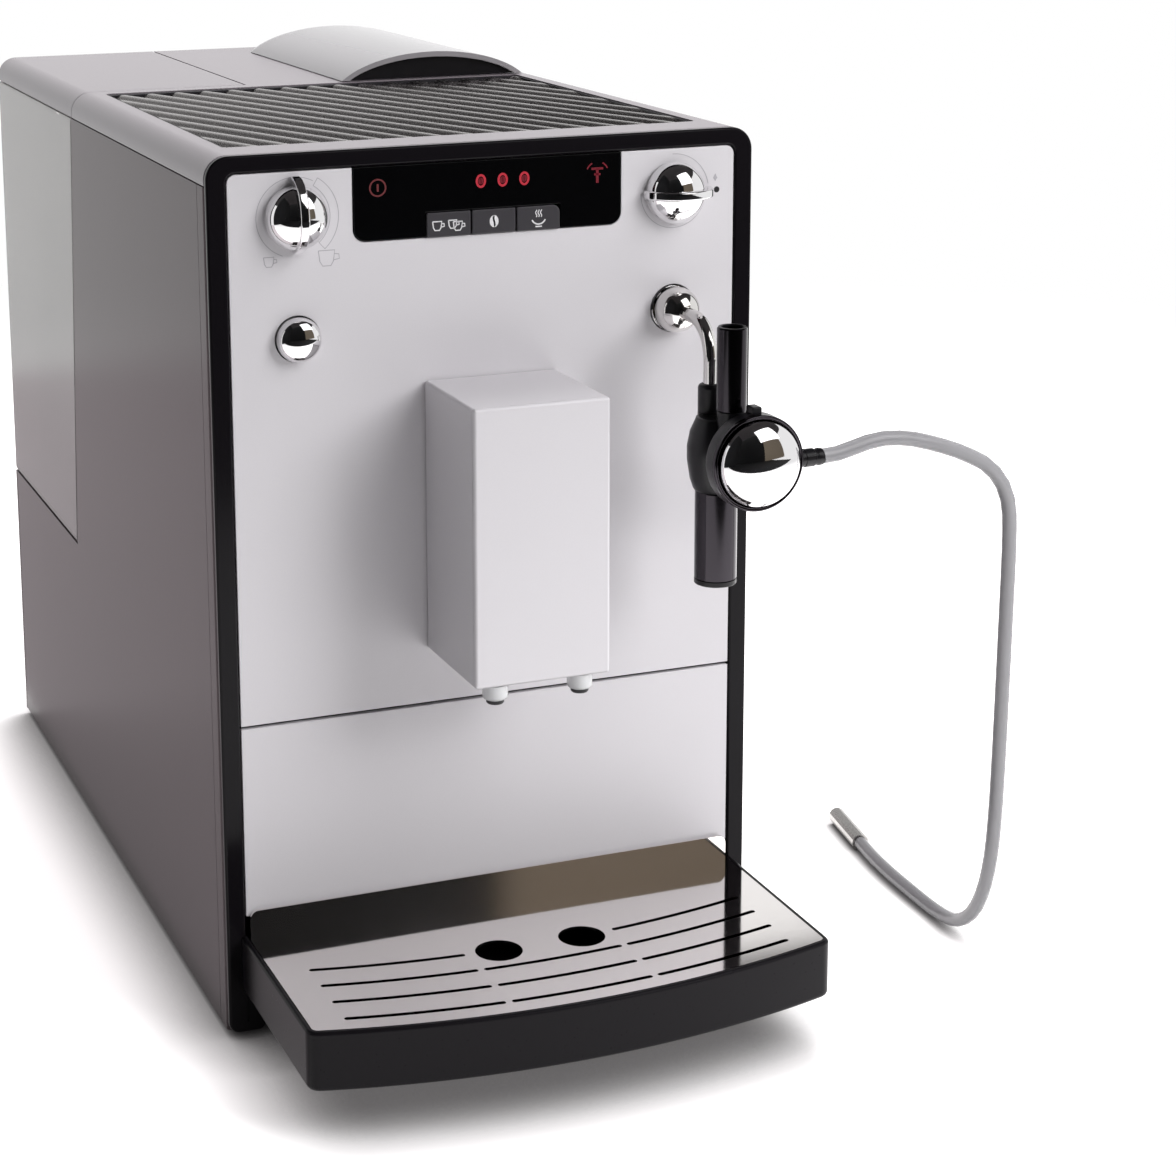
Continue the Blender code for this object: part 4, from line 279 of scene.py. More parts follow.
NODE_FINISHES = {
    "anthracite": "left_side_wall right_side_wall service_cover back_wall top_cover water_tank_lid",
    "silver": "upper_front_panel lower_front_panel spout_block",
    "piano": "front_bezel control_panel frother_body dial_housing",
    "matt": "base_pan spout_guide grounds_container tank_bay inner_chassis brew_frame",
    "tray": "drip_tray",
    "key": "cup_key strength_key steam_key",
    "chrome": "dose_knob steam_knob power_button steam_socket steam_pipe milk_dial",
    "dark_chrome": "air_tube frother_sleeve",
    "polished": "drip_grate",
    "ribbed": "cup_plate",
    "steel": "upper_burr lower_burr brew_piston hose_tip",
    "clear": "hopper_lid nozzle_left nozzle_right",
    "tank": "water_tank",
    "smoked": "bean_hopper",
    "rubber": "foot_front_left foot_front_right foot_rear_left foot_rear_right mains_gland",
    "casting": "grinder_motor heater_block water_pump brew_drive",
    "acetal": "tank_valve burr_carrier steam_valve",
    "laminate": "display_board main_board",
    "silicone": "milk_hose",
}


def dress_nodes():
    """Gives each node of the frame its finish."""
    for key, names in NODE_FINISHES.items():
        for name in names.split():
            NODES[name].data.materials.clear()
            NODES[name].data.materials.append(M[key])


make_plastics()
make_metals()
make_inks()
dress_nodes()


# Studio

# Light that the white floor gives off where nothing stands over it, and how its contact shade falls off
FLOOR_LIFT = 0.85
SHADE_REACH = 0.03
SHADE_POWER = 2.0
# Distances from the machine between which the floor passes into the white behind it
FADE_START = 0.45
FADE_END = 1.3
WORLD_SOFT = 0.23
# Name, place, size, turn in degrees, colour and glow. Mirrors see the cards, matt surfaces only the flag.
CARDS = (
    # Black in front, so that chrome shows a dark upper half and the black gloss stays deep
    ("front_card", (-1.1, -2.7, 1.35), (4.2, 2.7), (90, 0, 0), "#101012", 0),
    # Dim and warm, for the tint in the polished fold of the grate
    ("warm_card", (2.1, -2.7, 0.9), (2.2, 1.8), (90, 0, 0), "#8C8070", 0.2),
    # A grey ceiling that keeps the top and the ribs from burning out
    ("upper_card", (0.0, 0.9, 2.3), (6.0, 6.4), (0, 0, 0), "#2E2B2C", 0.6),
    # Black on the floor in front, the low horizon in the knobs
    ("front_cloth", (0.0, -1.80, 0.002), (3.0, 2.0), (0, 0, 0), "#101012", 0),
    # Black at the left, which takes some light from the left wall
    ("left_flag", (-1.0, -1.2, 1.1), (2.0, 2.2), (90, 0, 90), "#101012", 0),
    # Painted shade in reflections: a grey sheet on the floor at the left that only mirrors see, standing in
    # for the floor's shade beside the machine, so that the side wall doesn't mirror the white one
    ("side_shade_cloth", (-0.5525, 0.385, 0.002), (0.895, 1.17), (0, 0, 0), "#B0A9AC", 1.0),
    # The window-like highlight at the upper right of each knob
    ("softbox", (0.85, -1.20, 1.38), (1.15, 1.1), (54, 0, 32), "#FFFFFF", 1.3),
)
# Name, place, target, size and watts
LAMPS = (
    ("key", (0.85, -1.1, 1.15), (0, -0.1, 0.15), (0.8, 1.1), 19.5),
    ("fill", (0.55, -0.80, 0.50), (0.05, -0.135, 0.15), (0.3, 0.3), 2.0),
    ("top", (0.42, 0.70, 1.6), (0, 0, 0.1), (1.0, 1.0), 23),
)
# The photograph's viewpoint, fitted to the machine's corners: place, turn, tilt and roll, lens
CAMERA_SPOT = (-0.3174, -0.9591, 0.4304)
CAMERA_TURN = -20.61
CAMERA_TILT = 11.65
CAMERA_ROLL = -0.48
LENS_MM = 79.70
SENSOR_MM = 36
LENS_SHIFT = (0.1003, -0.2194)


def seen_directly(tree):
    """A factor that is one for rays of the camera, of mirrors and of clear plastic."""
    rays = add(tree, "ShaderNodeLightPath")
    links = {0: rays.outputs["Is Camera Ray"], 1: rays.outputs["Is Glossy Ray"]}
    either = add(tree, "ShaderNodeMath", links=links, operation="MAXIMUM")
    links = {0: either.outputs["Value"], 1: rays.outputs["Is Transmission Ray"]}
    return add(tree, "ShaderNodeMath", links=links, operation="MAXIMUM").outputs["Value"]


def floor_surface():
    """White table that keeps the machine's shadow, darkened by painted contact shade near the machine, and
    fades into the white behind it.
    """
    made = bpy.data.materials.new("matt white table")
    made.use_nodes = True
    tree = made.node_tree
    tree.nodes.clear()
    paint = add(tree, "ShaderNodeBsdfDiffuse", {"Color": colour("#F0F0F0")})
    # Painted contact shade: ambient occlusion darkens the floor's glow and its colour close to the machine.
    sky = add(tree, "ShaderNodeAmbientOcclusion", {"Distance": SHADE_REACH}, samples=16)
    near = add(tree, "ShaderNodeMath", {1: SHADE_POWER}, {0: sky.outputs["AO"]}, operation="POWER")
    glow = add(tree, "ShaderNodeMath", {1: FLOOR_LIFT}, {0: near.outputs["Value"]}, operation="MULTIPLY")
    lift = add(tree, "ShaderNodeEmission", {"Color": colour("#FFFAFB")}, {"Strength": glow.outputs["Value"]})
    top = add(tree, "ShaderNodeBsdfDiffuse", links={"Color": near.outputs["Value"]})
    lit = add(tree, "ShaderNodeAddShader", links={0: top.outputs["BSDF"], 1: lift.outputs["Emission"]})
    white = add(tree, "ShaderNodeEmission", {"Color": (1, 1, 1, 1), "Strength": 1.0})
    place = add(tree, "ShaderNodeTexCoord")
    middle = {1: (0, 0.05, 0)}
    far = add(tree, "ShaderNodeVectorMath", middle, {0: place.outputs["Object"]}, operation="DISTANCE")
    limits = {"From Min": FADE_START, "From Max": FADE_END}
    fade = add(
        tree, "ShaderNodeMapRange", limits, {"Value": far.outputs["Value"]}, interpolation_type="SMOOTHSTEP"
    )
    links = {"Fac": fade.outputs["Result"], 1: lit.outputs["Shader"], 2: white.outputs["Emission"]}
    shown = add(tree, "ShaderNodeMixShader", links=links)
    links = {"Fac": seen_directly(tree), 1: paint.outputs["BSDF"], 2: shown.outputs["Shader"]}
    both = add(tree, "ShaderNodeMixShader", links=links)
    add(tree, "ShaderNodeOutputMaterial", links={"Surface": both.outputs["Shader"]})
    return made


def leave_edit():
    """Back to object mode with nothing selected."""
    active = bpy.context.object
    if active is not None and active.mode == "EDIT":
        bpy.ops.object.mode_set(mode="OBJECT")
    bpy.ops.object.select_all(action="DESELECT")


def make_floor():
    """The table that the machine stands on."""
    leave_edit()
    bpy.ops.mesh.primitive_plane_add(size=6, location=(0, 0.6, 0))
    floor = bpy.context.object
    floor.name = "floor"
    bpy.ops.object.transform_apply(location=True, rotation=True, scale=True)
    floor.data.materials.append(floor_surface())


def make_cards():
    """Cards and cloths that mirrors see."""
    for name, spot, size, turn, code, glow in CARDS:
        leave_edit()
        bpy.ops.mesh.primitive_plane_add(size=1, location=spot)
        card = bpy.context.object
        card.name = name
        card.scale = (size[0], size[1], 1)
        card.rotation_euler = [math.radians(angle) for angle in turn]
        cloth = surface(name + " cloth", code, 0.0, 0.9, Emission_Color=colour(code), Emission_Strength=glow)
        card.data.materials.append(cloth)
        card.visible_camera = False
        card.visible_diffuse = name == "left_flag"
        card.visible_shadow = False
        card.visible_transmission = False


def make_world():
    """White where it is seen, and a soft light elsewhere."""
    world = bpy.data.worlds.new("studio")
    bpy.context.scene.world = world
    world.use_nodes = True
    tree = world.node_tree
    tree.nodes.clear()
    soft = add(tree, "ShaderNodeBackground", {"Color": (1, 1, 1, 1), "Strength": WORLD_SOFT})
    bright = add(tree, "ShaderNodeBackground", {"Color": (1, 1, 1, 1), "Strength": 1.0})
    links = {"Fac": seen_directly(tree), 1: soft.outputs["Background"], 2: bright.outputs["Background"]}
    mix = add(tree, "ShaderNodeMixShader", links=links)
    add(tree, "ShaderNodeOutputWorld", links={"Surface": mix.outputs["Shader"]})


def make_lamps():
    """Area lamps that no mirror sees."""
    for name, spot, target, size, power in LAMPS:
        light = bpy.data.lights.new(name, "AREA")
        light.shape = "RECTANGLE"
        light.size, light.size_y = size
        light.energy = power
        lamp = bpy.data.objects.new(name, light)
        bpy.context.scene.collection.objects.link(lamp)
        lamp.location = spot
        aim = Vector(target) - Vector(spot)
        lamp.rotation_euler = aim.to_track_quat("-Z", "Y").to_euler()
        lamp.visible_glossy = False


def make_camera():
    """The photograph's viewpoint."""
    turn, tilt, roll = (math.radians(angle) for angle in (CAMERA_TURN, CAMERA_TILT, CAMERA_ROLL))
    ahead = Vector((-math.sin(turn) * math.cos(tilt), math.cos(turn) * math.cos(tilt), -math.sin(tilt)))
    side = Vector((math.cos(turn), math.sin(turn), 0))
    up = side.cross(ahead)
    across = math.cos(roll) * side + math.sin(roll) * up
    above = math.cos(roll) * up - math.sin(roll) * side
    lens = bpy.data.cameras.new("camera")
    lens.sensor_width = SENSOR_MM
    lens.lens = LENS_MM
    lens.shift_x, lens.shift_y = LENS_SHIFT
    lens.clip_start = 0.01
    lens.clip_end = 20
    camera = bpy.data.objects.new("camera", lens)
    bpy.context.scene.collection.objects.link(camera)
    rows = [(across[i], above[i], -ahead[i], CAMERA_SPOT[i]) for i in range(3)]
    camera.matrix_world = Matrix((*rows, (0, 0, 0, 1)))
    bpy.context.scene.camera = camera


make_floor()
make_cards()
make_world()
make_lamps()
make_camera()
bpy.context.scene.view_settings.view_transform = "Standard"


# Modelling tools: a piece is drawn out in edit mode, then smoothed, finished and set on its body


def enter_edit(ob):
    """Edit mode on one piece alone, with nothing in it selected."""
    leave_edit()
    ob.select_set(True)
    bpy.context.view_layer.objects.active = ob
    bpy.ops.object.mode_set(mode="EDIT")
    bpy.ops.mesh.select_all(action="DESELECT")


def pick(ob, chosen, kind="FACE"):
    """Selects the faces or edges that a test on their middle and direction accepts."""
    bpy.ops.mesh.select_mode(type=kind)
    bpy.ops.mesh.select_all(action="DESELECT")
    form = bmesh.from_edit_mesh(ob.data)
    if kind == "FACE":
        for face in form.faces:
            face.select_set(bool(chosen(face.calc_center_median(), face.normal)))
    else:
        for edge in form.edges:
            a, b = edge.verts[0].co, edge.verts[1].co
            edge.select_set(bool(chosen((a + b) / 2, (b - a).normalized())))
    form.select_flush_mode()
    bmesh.update_edit_mesh(ob.data)


def start_point(name, spot):
    """A new piece of one vertex, ready to be drawn out."""
    leave_edit()
    bpy.ops.mesh.primitive_plane_add(size=0.001, location=spot)
    ob = bpy.context.object
    ob.name = ob.data.name = name
    bpy.ops.object.transform_apply(location=True, rotation=True, scale=True)
    bpy.ops.object.mode_set(mode="EDIT")
    bpy.ops.mesh.select_mode(type="VERT")
    bpy.ops.mesh.select_all(action="SELECT")
    bpy.ops.mesh.merge(type="CENTER")
    return ob


def draw_line(points):
    """Extrudes the selected vertex from each point to the next."""
    for before, after in zip(points, points[1:]):
        step = Vector(after) - Vector(before)
        bpy.ops.mesh.extrude_vertices_move(TRANSFORM_OT_translate={"value": step})


def draw_out(step):
    """Extrudes what is selected by one step."""
    bpy.ops.mesh.extrude_region_move(TRANSFORM_OT_translate={"value": step})


def close_line():
    """Joins the two loose ends of the drawn line."""
    form = bmesh.from_edit_mesh(bpy.context.object.data)
    for vert in form.verts:
        vert.select_set(len(vert.link_edges) == 1)
    form.select_flush_mode()
    bmesh.update_edit_mesh(bpy.context.object.data)
    bpy.ops.mesh.edge_face_add()


def settle():
    """Welds the drawn shape and turns its faces outwards."""
    bpy.ops.mesh.select_all(action="SELECT")
    bpy.ops.mesh.remove_doubles(threshold=0.000004)
    bpy.ops.mesh.normals_make_consistent(inside=False)
    leave_edit()


def spun(name, profile, centre, axis, steps, closed=False):
    """Turns a profile of (radius, height) round an axis: Z, up; -Y, to the front; X, right."""
    centre = Vector(centre)
    along = {"Z": Vector((0, 0, 1)), "-Y": Vector((0, -1, 0)), "X": Vector((1, 0, 0))}[axis]
    out = Vector((1, 0, 0)) if axis != "X" else Vector((0, 0, 1))
    points = [centre + out * radius + along * height for radius, height in profile]
    ob = start_point(name, points[0])
    draw_line(points)
    if closed:
        close_line()
    bpy.ops.mesh.select_all(action="SELECT")
    bpy.ops.mesh.spin(steps=steps, angle=2 * math.pi, use_auto_merge=True, center=centre, axis=along)
    settle()
    return ob


def rod(name, radius, low, high, centre, axis, steps):
    """A plain round rod between two heights on its axis."""
    return spun(name, [(0, low), (radius, low), (radius, high), (0, high)], centre, axis, steps)


def plate(name, outline, back, depth, facing="-Y"):
    """Fills an outline and draws it out: of (x, z) towards the front, (x, y) up, (y, z) to a side."""
    if facing == "-Y":
        points = [Vector((x, back, z)) for x, z in outline]
        step = Vector((0, -depth, 0))
    elif facing == "Z":
        points = [Vector((x, y, back)) for x, y in outline]
        step = Vector((0, 0, depth))
    else:
        points = [Vector((back, y, z)) for y, z in outline]
        step = Vector((depth if facing == "X" else -depth, 0, 0))
    ob = start_point(name, points[0])
    draw_line(points)
    bpy.ops.mesh.select_all(action="SELECT")
    bpy.ops.mesh.edge_face_add()
    bpy.ops.mesh.select_mode(type="FACE")
    bpy.ops.mesh.select_all(action="SELECT")
    draw_out(step)
    settle()
    return ob


def slab(name, low, high):
    """A block from corner to corner, to be shaped further."""
    leave_edit()
    low, high = Vector(low), Vector(high)
    bpy.ops.mesh.primitive_cube_add(size=1, location=(low + high) / 2, scale=high - low)
    ob = bpy.context.object
    ob.name = ob.data.name = name
    bpy.ops.object.transform_apply(location=True, rotation=True, scale=True)
    return ob


def rounded(low, high, turns, steps):
    """Outline of a rectangle with round corners, anticlockwise from its upper right one."""
    outline = []
    for i, (right, upper) in enumerate(((1, 1), (0, 1), (0, 0), (1, 0))):
        turn = turns[i]
        across = high[0] - turn if right else low[0] + turn
        up = high[1] - turn if upper else low[1] + turn
        outline += arc((across, up), turn, 90 * i, 90 * i + 90, steps)
    return outline


def rounded_box(name, low, high, turn):
    """A block whose upright edges are round."""
    return plate(name, rounded(low, high, [turn] * 4, 6), low[2], high[2] - low[2], "Z")


def mirrored(points):
    """The points on the other side of the middle plane, in reverse order."""
    return [(-x, other) for x, other in reversed(points)]


def bevel_edges(ob, width, steps, chosen):
    """Rounds the chosen edges in edit mode."""
    enter_edit(ob)
    pick(ob, chosen, "EDGE")
    bpy.ops.mesh.bevel(offset=width, segments=steps, profile=0.5, affect="EDGES")
    leave_edit()


def apply_modifier(ob, kind, **settings):
    """Adds one modifier with its settings and applies it."""
    leave_edit()
    ob.select_set(True)
    bpy.context.view_layer.objects.active = ob
    made = ob.modifiers.new(kind.lower(), kind)
    for name, value in settings.items():
        setattr(made, name, value)
    bpy.ops.object.modifier_apply(modifier=made.name)


def soften(ob, width, steps=3, angle=50):
    """Rounds every sharp edge with an applied Bevel."""
    apply_modifier(
        ob, "BEVEL", width=width, segments=steps, limit_method="ANGLE",
        angle_limit=math.radians(angle), miter_outer="MITER_ARC",
    )


def combine(ob, operation, others):
    """Cuts, fuses or trims a piece with shapes, and removes them."""
    for other in others:
        apply_modifier(ob, "BOOLEAN", operation=operation, object=other, solver="EXACT")
        bpy.data.objects.remove(other, do_unlink=True)


def carve(ob, *cutters):
    """Cuts shapes out of a piece."""
    combine(ob, "DIFFERENCE", cutters)


def weld_on(ob, *others):
    """Fuses shapes into a piece."""
    combine(ob, "UNION", others)


def join(name, ob, *others):
    """Makes several shapes one piece."""
    leave_edit()
    for other in others:
        other.select_set(True)
    ob.select_set(True)
    bpy.context.view_layer.objects.active = ob
    if others:
        bpy.ops.object.join()
    ob.name = ob.data.name = name
    return ob


def finished(ob, key, body, replaced=(), angle=35):
    """Smooths a piece with its large faces kept flat, gives it its finish and sets it on its body."""
    leave_edit()
    ob.select_set(True)
    bpy.context.view_layer.objects.active = ob
    bpy.ops.object.shade_smooth_by_angle(angle=math.radians(angle))
    apply_modifier(ob, "WEIGHTED_NORMAL", keep_sharp=True, weight=90)
    ob.data.materials.clear()
    ob.data.materials.append(M[key])
    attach(ob, body)
    if replaced:
        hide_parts(*replaced)


def arc(centre, radius, first, last, steps):
    """Points on an arc between two angles in degrees."""
    points = []
    for i in range(steps + 1):
        angle = math.radians(first + (last - first) * i / steps)
        points.append((centre[0] + radius * math.cos(angle), centre[1] + radius * math.sin(angle)))
    return points


def dome_line(radius, low, high, steps=14, power=1.0):
    """Profile of a dome from its pole down to its edge."""
    points = []
    for i in range(steps + 1):
        angle = math.pi / 2 * i / steps
        points.append((radius * math.sin(angle), low + (high - low) * math.cos(angle) ** power))
    points[0] = (0.0, high)
    return points


def tube_along(name, route, radius, sides):
    """A round rod along a route: a circle extruded and turned from point to point."""
    leave_edit()
    heading = (route[1] - route[0]).normalized()
    turn = Vector((0, 0, 1)).rotation_difference(heading).to_euler()
    bpy.ops.mesh.primitive_circle_add(
        vertices=sides, radius=radius, fill_type="NGON", location=route[0], rotation=turn
    )
    ob = bpy.context.object
    ob.name = ob.data.name = name
    bpy.ops.object.transform_apply(location=True, rotation=True, scale=True)
    bpy.ops.object.mode_set(mode="EDIT")
    bpy.ops.mesh.select_mode(type="FACE")
    bpy.ops.mesh.select_all(action="SELECT")
    for i in range(1, len(route)):
        step = route[i] - route[i - 1]
        draw_out(step)
        middle = step.normalized()
        if i + 1 < len(route):
            middle = (middle + (route[i + 1] - route[i]).normalized()).normalized()
        swing = heading.rotation_difference(middle)
        if swing.angle > 0.0001:
            turn_selected(swing, route[i])
        heading = middle
    settle()
    return ob


def turn_selected(swing, centre):
    """Turns what is selected about a point by a quaternion."""
    form = bmesh.from_edit_mesh(bpy.context.object.data)
    chosen = [vert for vert in form.verts if vert.select]
    bmesh.ops.rotate(form, cent=centre, matrix=swing.to_matrix(), verts=chosen)
    bmesh.update_edit_mesh(bpy.context.object.data)


# Controls


def make_knob(name, x, upright):
    """Chrome knob: a low dome on a thin skirt, with a blade-like grip across it."""
    face = PANEL - CLEAR
    skirt, dome, stem = 0.0110, 0.0108, 0.0030
    profile = dome_line(dome, 0.0020, 0.0098)
    profile += [(skirt, 0.0017), (skirt, 0.0002), (dome, 0.0), (stem, 0.0)]
    profile += [(stem, -0.0146), (stem - CLEAR, -0.0150), (0.0, -0.0150)]
    knob = spun(name + "_dome", profile, (x, face, KNOB_Z), "-Y", 72)
    pointing, trailing, height, half = 0.0143, 0.0121, 0.0123, 0.0016
    blade = []
    for i in range(25):
        turn = math.pi * i / 24
        reach = pointing if math.cos(turn) > 0 else trailing
        blade.append((reach * math.cos(turn), height * math.sin(turn) ** 0.9))
    if upright:
        outline = [(face - up, KNOB_Z + along) for along, up in blade]
        fin = plate(name + "_fin", outline, x - half, 2 * half, "X")
    else:
        outline = [(x + along, face - up) for along, up in blade]
        fin = plate(name + "_fin", outline, KNOB_Z - half, 2 * half, "Z")
    soften(fin, 0.0007, 4)
    finished(join(name + "_plated", knob, fin), "chrome", name, [name])


def make_power_button():
    """Chrome push button with a round top."""
    stem, depth = 0.0077, 0.0042
    profile = dome_line(0.0075, 0.0022, 0.0065, 14, 0.8)
    profile += [(stem, 0.0019), (stem, 0.0002 - depth), (stem - 0.0002, -depth), (0.0, -depth)]
    ob = spun("power_button_plated", profile, (-CONTROL_X, PANEL, BUTTON_Z), "-Y", 72)
    finished(ob, "chrome", "power_button", ["power_button"])


def make_steam_outlet():
    """Chrome socket, the ball in it and the pipe bent down into the frother's neck."""
    seat, reach, lip, outer, depth = 0.0086, 0.0035, 0.0005, 0.0083, 0.0120
    profile = []
    for i in range(13):
        height = reach - seat + (lip - reach + seat) * i / 12
        profile.append((math.sqrt(max(seat * seat - (reach - height) ** 2, 0)), height))
    profile[0] = (0.0, reach - seat)
    profile += [(outer - 0.0001, lip), (outer, lip - 0.0001), (outer, 0.0002 - depth)]
    profile += [(outer - 0.0002, -depth), (0.0, -depth)]
    socket = spun("steam_socket_plated", profile, (CONTROL_X, PANEL, BUTTON_Z), "-Y", 64)
    finished(socket, "chrome", "housing", ["steam_socket"])
    ball_radius, pipe_radius, bend = 0.0081, 0.0025, 0.0130
    leave_edit()
    bpy.ops.mesh.primitive_uv_sphere_add(
        segments=64, ring_count=32, radius=ball_radius, location=(CONTROL_X, BALL_Y, BUTTON_Z)
    )
    ball = bpy.context.object
    bpy.ops.object.transform_apply(location=True, rotation=True, scale=True)
    route = [Vector((CONTROL_X, BALL_Y - ball_radius / 2 + 0.00005, BUTTON_Z))]
    for y, z in arc((PIPE_Y + bend, BUTTON_Z - bend), bend, 90, 180, 20):
        route.append(Vector((CONTROL_X, y, z)))
    route.append(Vector((CONTROL_X, PIPE_Y, DIAL_Z + 0.0155)))
    pipe = join("steam_pipe_plated", ball, tube_along("pipe_run", route, pipe_radius, 28))
    finished(pipe, "pipe_chrome", "frother", ["steam_pipe"], 40)


def make_frother_body(top, bottom):
    """Waisted body of the frother with its neck, the arm of the dial and the seat of the air tube."""
    widest, tall = 0.0103, top - bottom
    shares = ((0.62, 1.0), (0.70, 0.985), (0.74, 0.94), (0.90, 0.80), (1.0, 0.60), (1.0, 0.42))
    shares += ((0.90, 0.16), (0.79, 0.03), (0.74, 0.0))
    waist = [(widest * across, bottom + tall * up) for across, up in shares]
    profile = [(0.0, top), *waist, (0.0, bottom)]
    body = spun("frother_moulding", profile, (CONTROL_X, FROTHER_Y, 0), "Z", 64)
    neck, bore, lip, neck_top = 0.0043, 0.0028, 0.0016, DIAL_Z + 0.0223
    profile = [(0.0, top - 0.006), (neck, top - 0.006), (neck, neck_top - lip)]
    profile += [(r + neck - lip, z) for r, z in arc((0, neck_top - lip), lip, 10, 80, 5)]
    profile += [(bore, neck_top), (bore, neck_top - 0.0072), (0.0, neck_top - 0.0072)]
    parts = [spun("neck", profile, (CONTROL_X, PIPE_Y, 0), "Z", 40)]
    for name, radius, length, centre, axis, steps in (
        ("arm", 0.0075, 0.0149, (CONTROL_X + 0.00225, FROTHER_Y, DIAL_Z), "-Y", 56),
        ("air_seat", 0.0049, 0.0155, (AIR_X, AIR_Y, DIAL_Z), "Z", 48),
    ):
        rounding = [(radius, length - CLEAR), (radius - CLEAR, length)]
        parts.append(spun(name, [(0.0, 0.0), (radius, 0.0), *rounding, (0.0, length)], centre, axis, steps))
    weld_on(body, *parts)
    finished(body, "frother_black", "frother", ["frother_body"])


def make_frother():
    """Frother: its body, the open air tube with a black rim, and the sleeve with its black ring."""
    top, bottom = DIAL_Z + 0.0120, DIAL_Z - 0.0142
    make_frother_body(top, bottom)
    low, high, bore, outer, edge = DIAL_Z + 0.0158, DIAL_Z + 0.0446, 0.0039, 0.0052, 0.0002
    profile = [(0.0, low + 0.0010), (bore, low + 0.0010), (bore, high - 2 * edge), (bore + edge, high - edge)]
    profile += [(outer - edge, high - edge), (outer, high - 2 * edge), (outer, low), (0.0, low)]
    air = spun("air_tube_plated", profile, (AIR_X, AIR_Y, 0), "Z", 56)
    finished(air, "dark_chrome", "frother", ["air_tube"])
    profile = [(bore, 0.0), (bore + edge, edge), (0.0048, edge), (0.0048, 0.0)]
    profile += [(0.0044, -0.0006), (bore, -0.0006)]
    rim = spun("air_tube_rim", profile, (AIR_X, AIR_Y, high), "Z", 48, True)
    finished(rim, "frother_black", "frother")
    top, low, bore, outer, ring = bottom - CLEAR, DIAL_Z - 0.0479, 0.0058, 0.0074, 0.0070
    profile = [(0.0, top), (outer - edge, top), (outer, top - CLEAR), (outer, low + 0.0022)]
    profile += [(ring, low + 0.0018), (ring, low + edge), (ring - edge, low), (bore + edge, low)]
    profile += [(bore, low + edge), (bore, top - 0.0016), (0.0, top - 0.0016)]
    sleeve = spun("frother_sleeve_plated", profile, (CONTROL_X, FROTHER_Y, 0), "Z", 64)
    finished(sleeve, "dark_chrome", "frother", ["frother_sleeve"])
    profile = [(ring, 0.0018), (outer, 0.0018), (outer, 0.0003), (outer - edge, 0.0001), (ring, 0.0001)]
    foot = spun("sleeve_ring", profile, (CONTROL_X, FROTHER_Y, low), "Z", 64, True)
    finished(foot, "frother_black", "frother")


def make_dial():
    """Dial housing with its metal ring, pointer tab and barbed nipple, and the chrome dial."""
    centre = (DIAL_X, DIAL_Y, DIAL_Z)
    inner, outer, floor, rim = 0.0155, 0.0168, 0.0030, 0.0068
    profile = [(0.0, floor), (inner, floor), (inner, rim), (outer, rim)]
    profile += [(outer, 0.0020), (0.0162, 0.0006), (0.0148, 0.0), (0.0, 0.0)]
    housing = spun("dial_housing_moulding", profile, centre, "-Y", 96)
    start = (0.0899, FRONT - 0.0560, DIAL_Z - 0.0007)
    reach = CONTROL_X + 0.0300 - start[0]
    barbs = ((0.0030, 0.0), (0.0030, 0.0026), (0.0032, 0.0028), (0.0032, 0.0062))
    barbs += ((0.0028, 0.0066), (0.0028, 0.0074), (0.0031, 0.0080), (0.0029, reach))
    nipple = spun("nipple", [(0.0, 0.0), *barbs, (0.0, reach)], start, "X", 40)
    half = 0.0018
    tab_low = (DIAL_X - half, DIAL_Y - 0.0066, DIAL_Z + 0.0160)
    tab = slab("tab", tab_low, (DIAL_X + half, DIAL_Y - 0.0012, DIAL_Z + 0.0192))
    soften(tab, 0.0006)
    weld_on(housing, nipple, tab)
    finished(housing, "frother_black", "frother", ["dial_housing"])
    profile = [(inner, rim + 0.0001), (inner, 0.0085), (inner + 0.0002, 0.0087)]
    profile += [(r + outer - 0.0008, h + 0.0080) for r, h in arc((0, 0), 0.0008, 80, 0, 5)]
    profile.append((outer, rim + 0.0001))
    ring = spun("dial_ring", profile, centre, "-Y", 96, True)
    finished(ring, "dark_chrome", "frother", ())
    profile = dome_line(0.0150, 0.0086, 0.01587, 18)
    profile += [(0.0152, 0.0083), (0.0152, 0.0034), (0.0, 0.0034)]
    dial = spun("milk_dial_plated", profile, centre, "-Y", 96)
    finished(dial, "chrome", "milk_dial", ["milk_dial"])


def make_spout():
    """Spout block with its front cover let in, and its two milky nozzles, each with a black ring at its end:
    painted shade for its dark opening.
    """
    half, back, front = 0.0245, FRONT - CLEAR, FRONT - 0.0475
    low, high, margin = 0.1360, 0.2325, 0.002
    block = slab("spout_shell", (-half, front, low), (half, back, high))
    bevel_edges(block, 0.0011, 4, lambda mid, run: mid.y < back - 0.0001)
    enter_edit(block)
    pick(block, lambda mid, normal: normal.y > 0.9)
    bpy.ops.mesh.inset(thickness=0.0020, depth=0)
    draw_out((0, -0.0430, 0))
    leave_edit()
    groove_low = (-half - margin, front + 0.0015, low - margin)
    groove = slab("groove", groove_low, (half + margin, front + 0.0018, high + margin))
    deep = 0.0004
    carve(groove, slab("kept", (-half + deep, front, low + deep), (half - deep, back, high - deep)))
    carve(block, groove)
    finished(block, "silver", "spout", ["spout_block"])
    bore, outer = 0.0022, 0.0044
    for side, name in ((-1, "nozzle_left"), (1, "nozzle_right")):
        centre = (side * NOZZLE_X, FRONT - 0.0420, low - CLEAR)
        profile = [(bore, 0.0), (outer - 0.0001, 0.0), (outer, -0.0002), (outer, -0.0042)]
        profile += [(0.0040, -0.0050), (0.0033, -0.0054), (bore, -0.0054)]
        nozzle = spun(name + "_clear", profile, centre, "Z", 40, True)
        finished(nozzle, "milky", "spout", [name])
        # Painted shade: a black ring at the nozzle's end stands in for its dark opening.
        profile = [(bore, -0.0055), (0.0031, -0.0055), (0.0031, -0.0064), (0.0028, -0.0068), (bore, -0.0068)]
        painted_opening = spun(name + "_end", profile, centre, "Z", 40, True)
        finished(painted_opening, "frother_black", "spout")


# Front


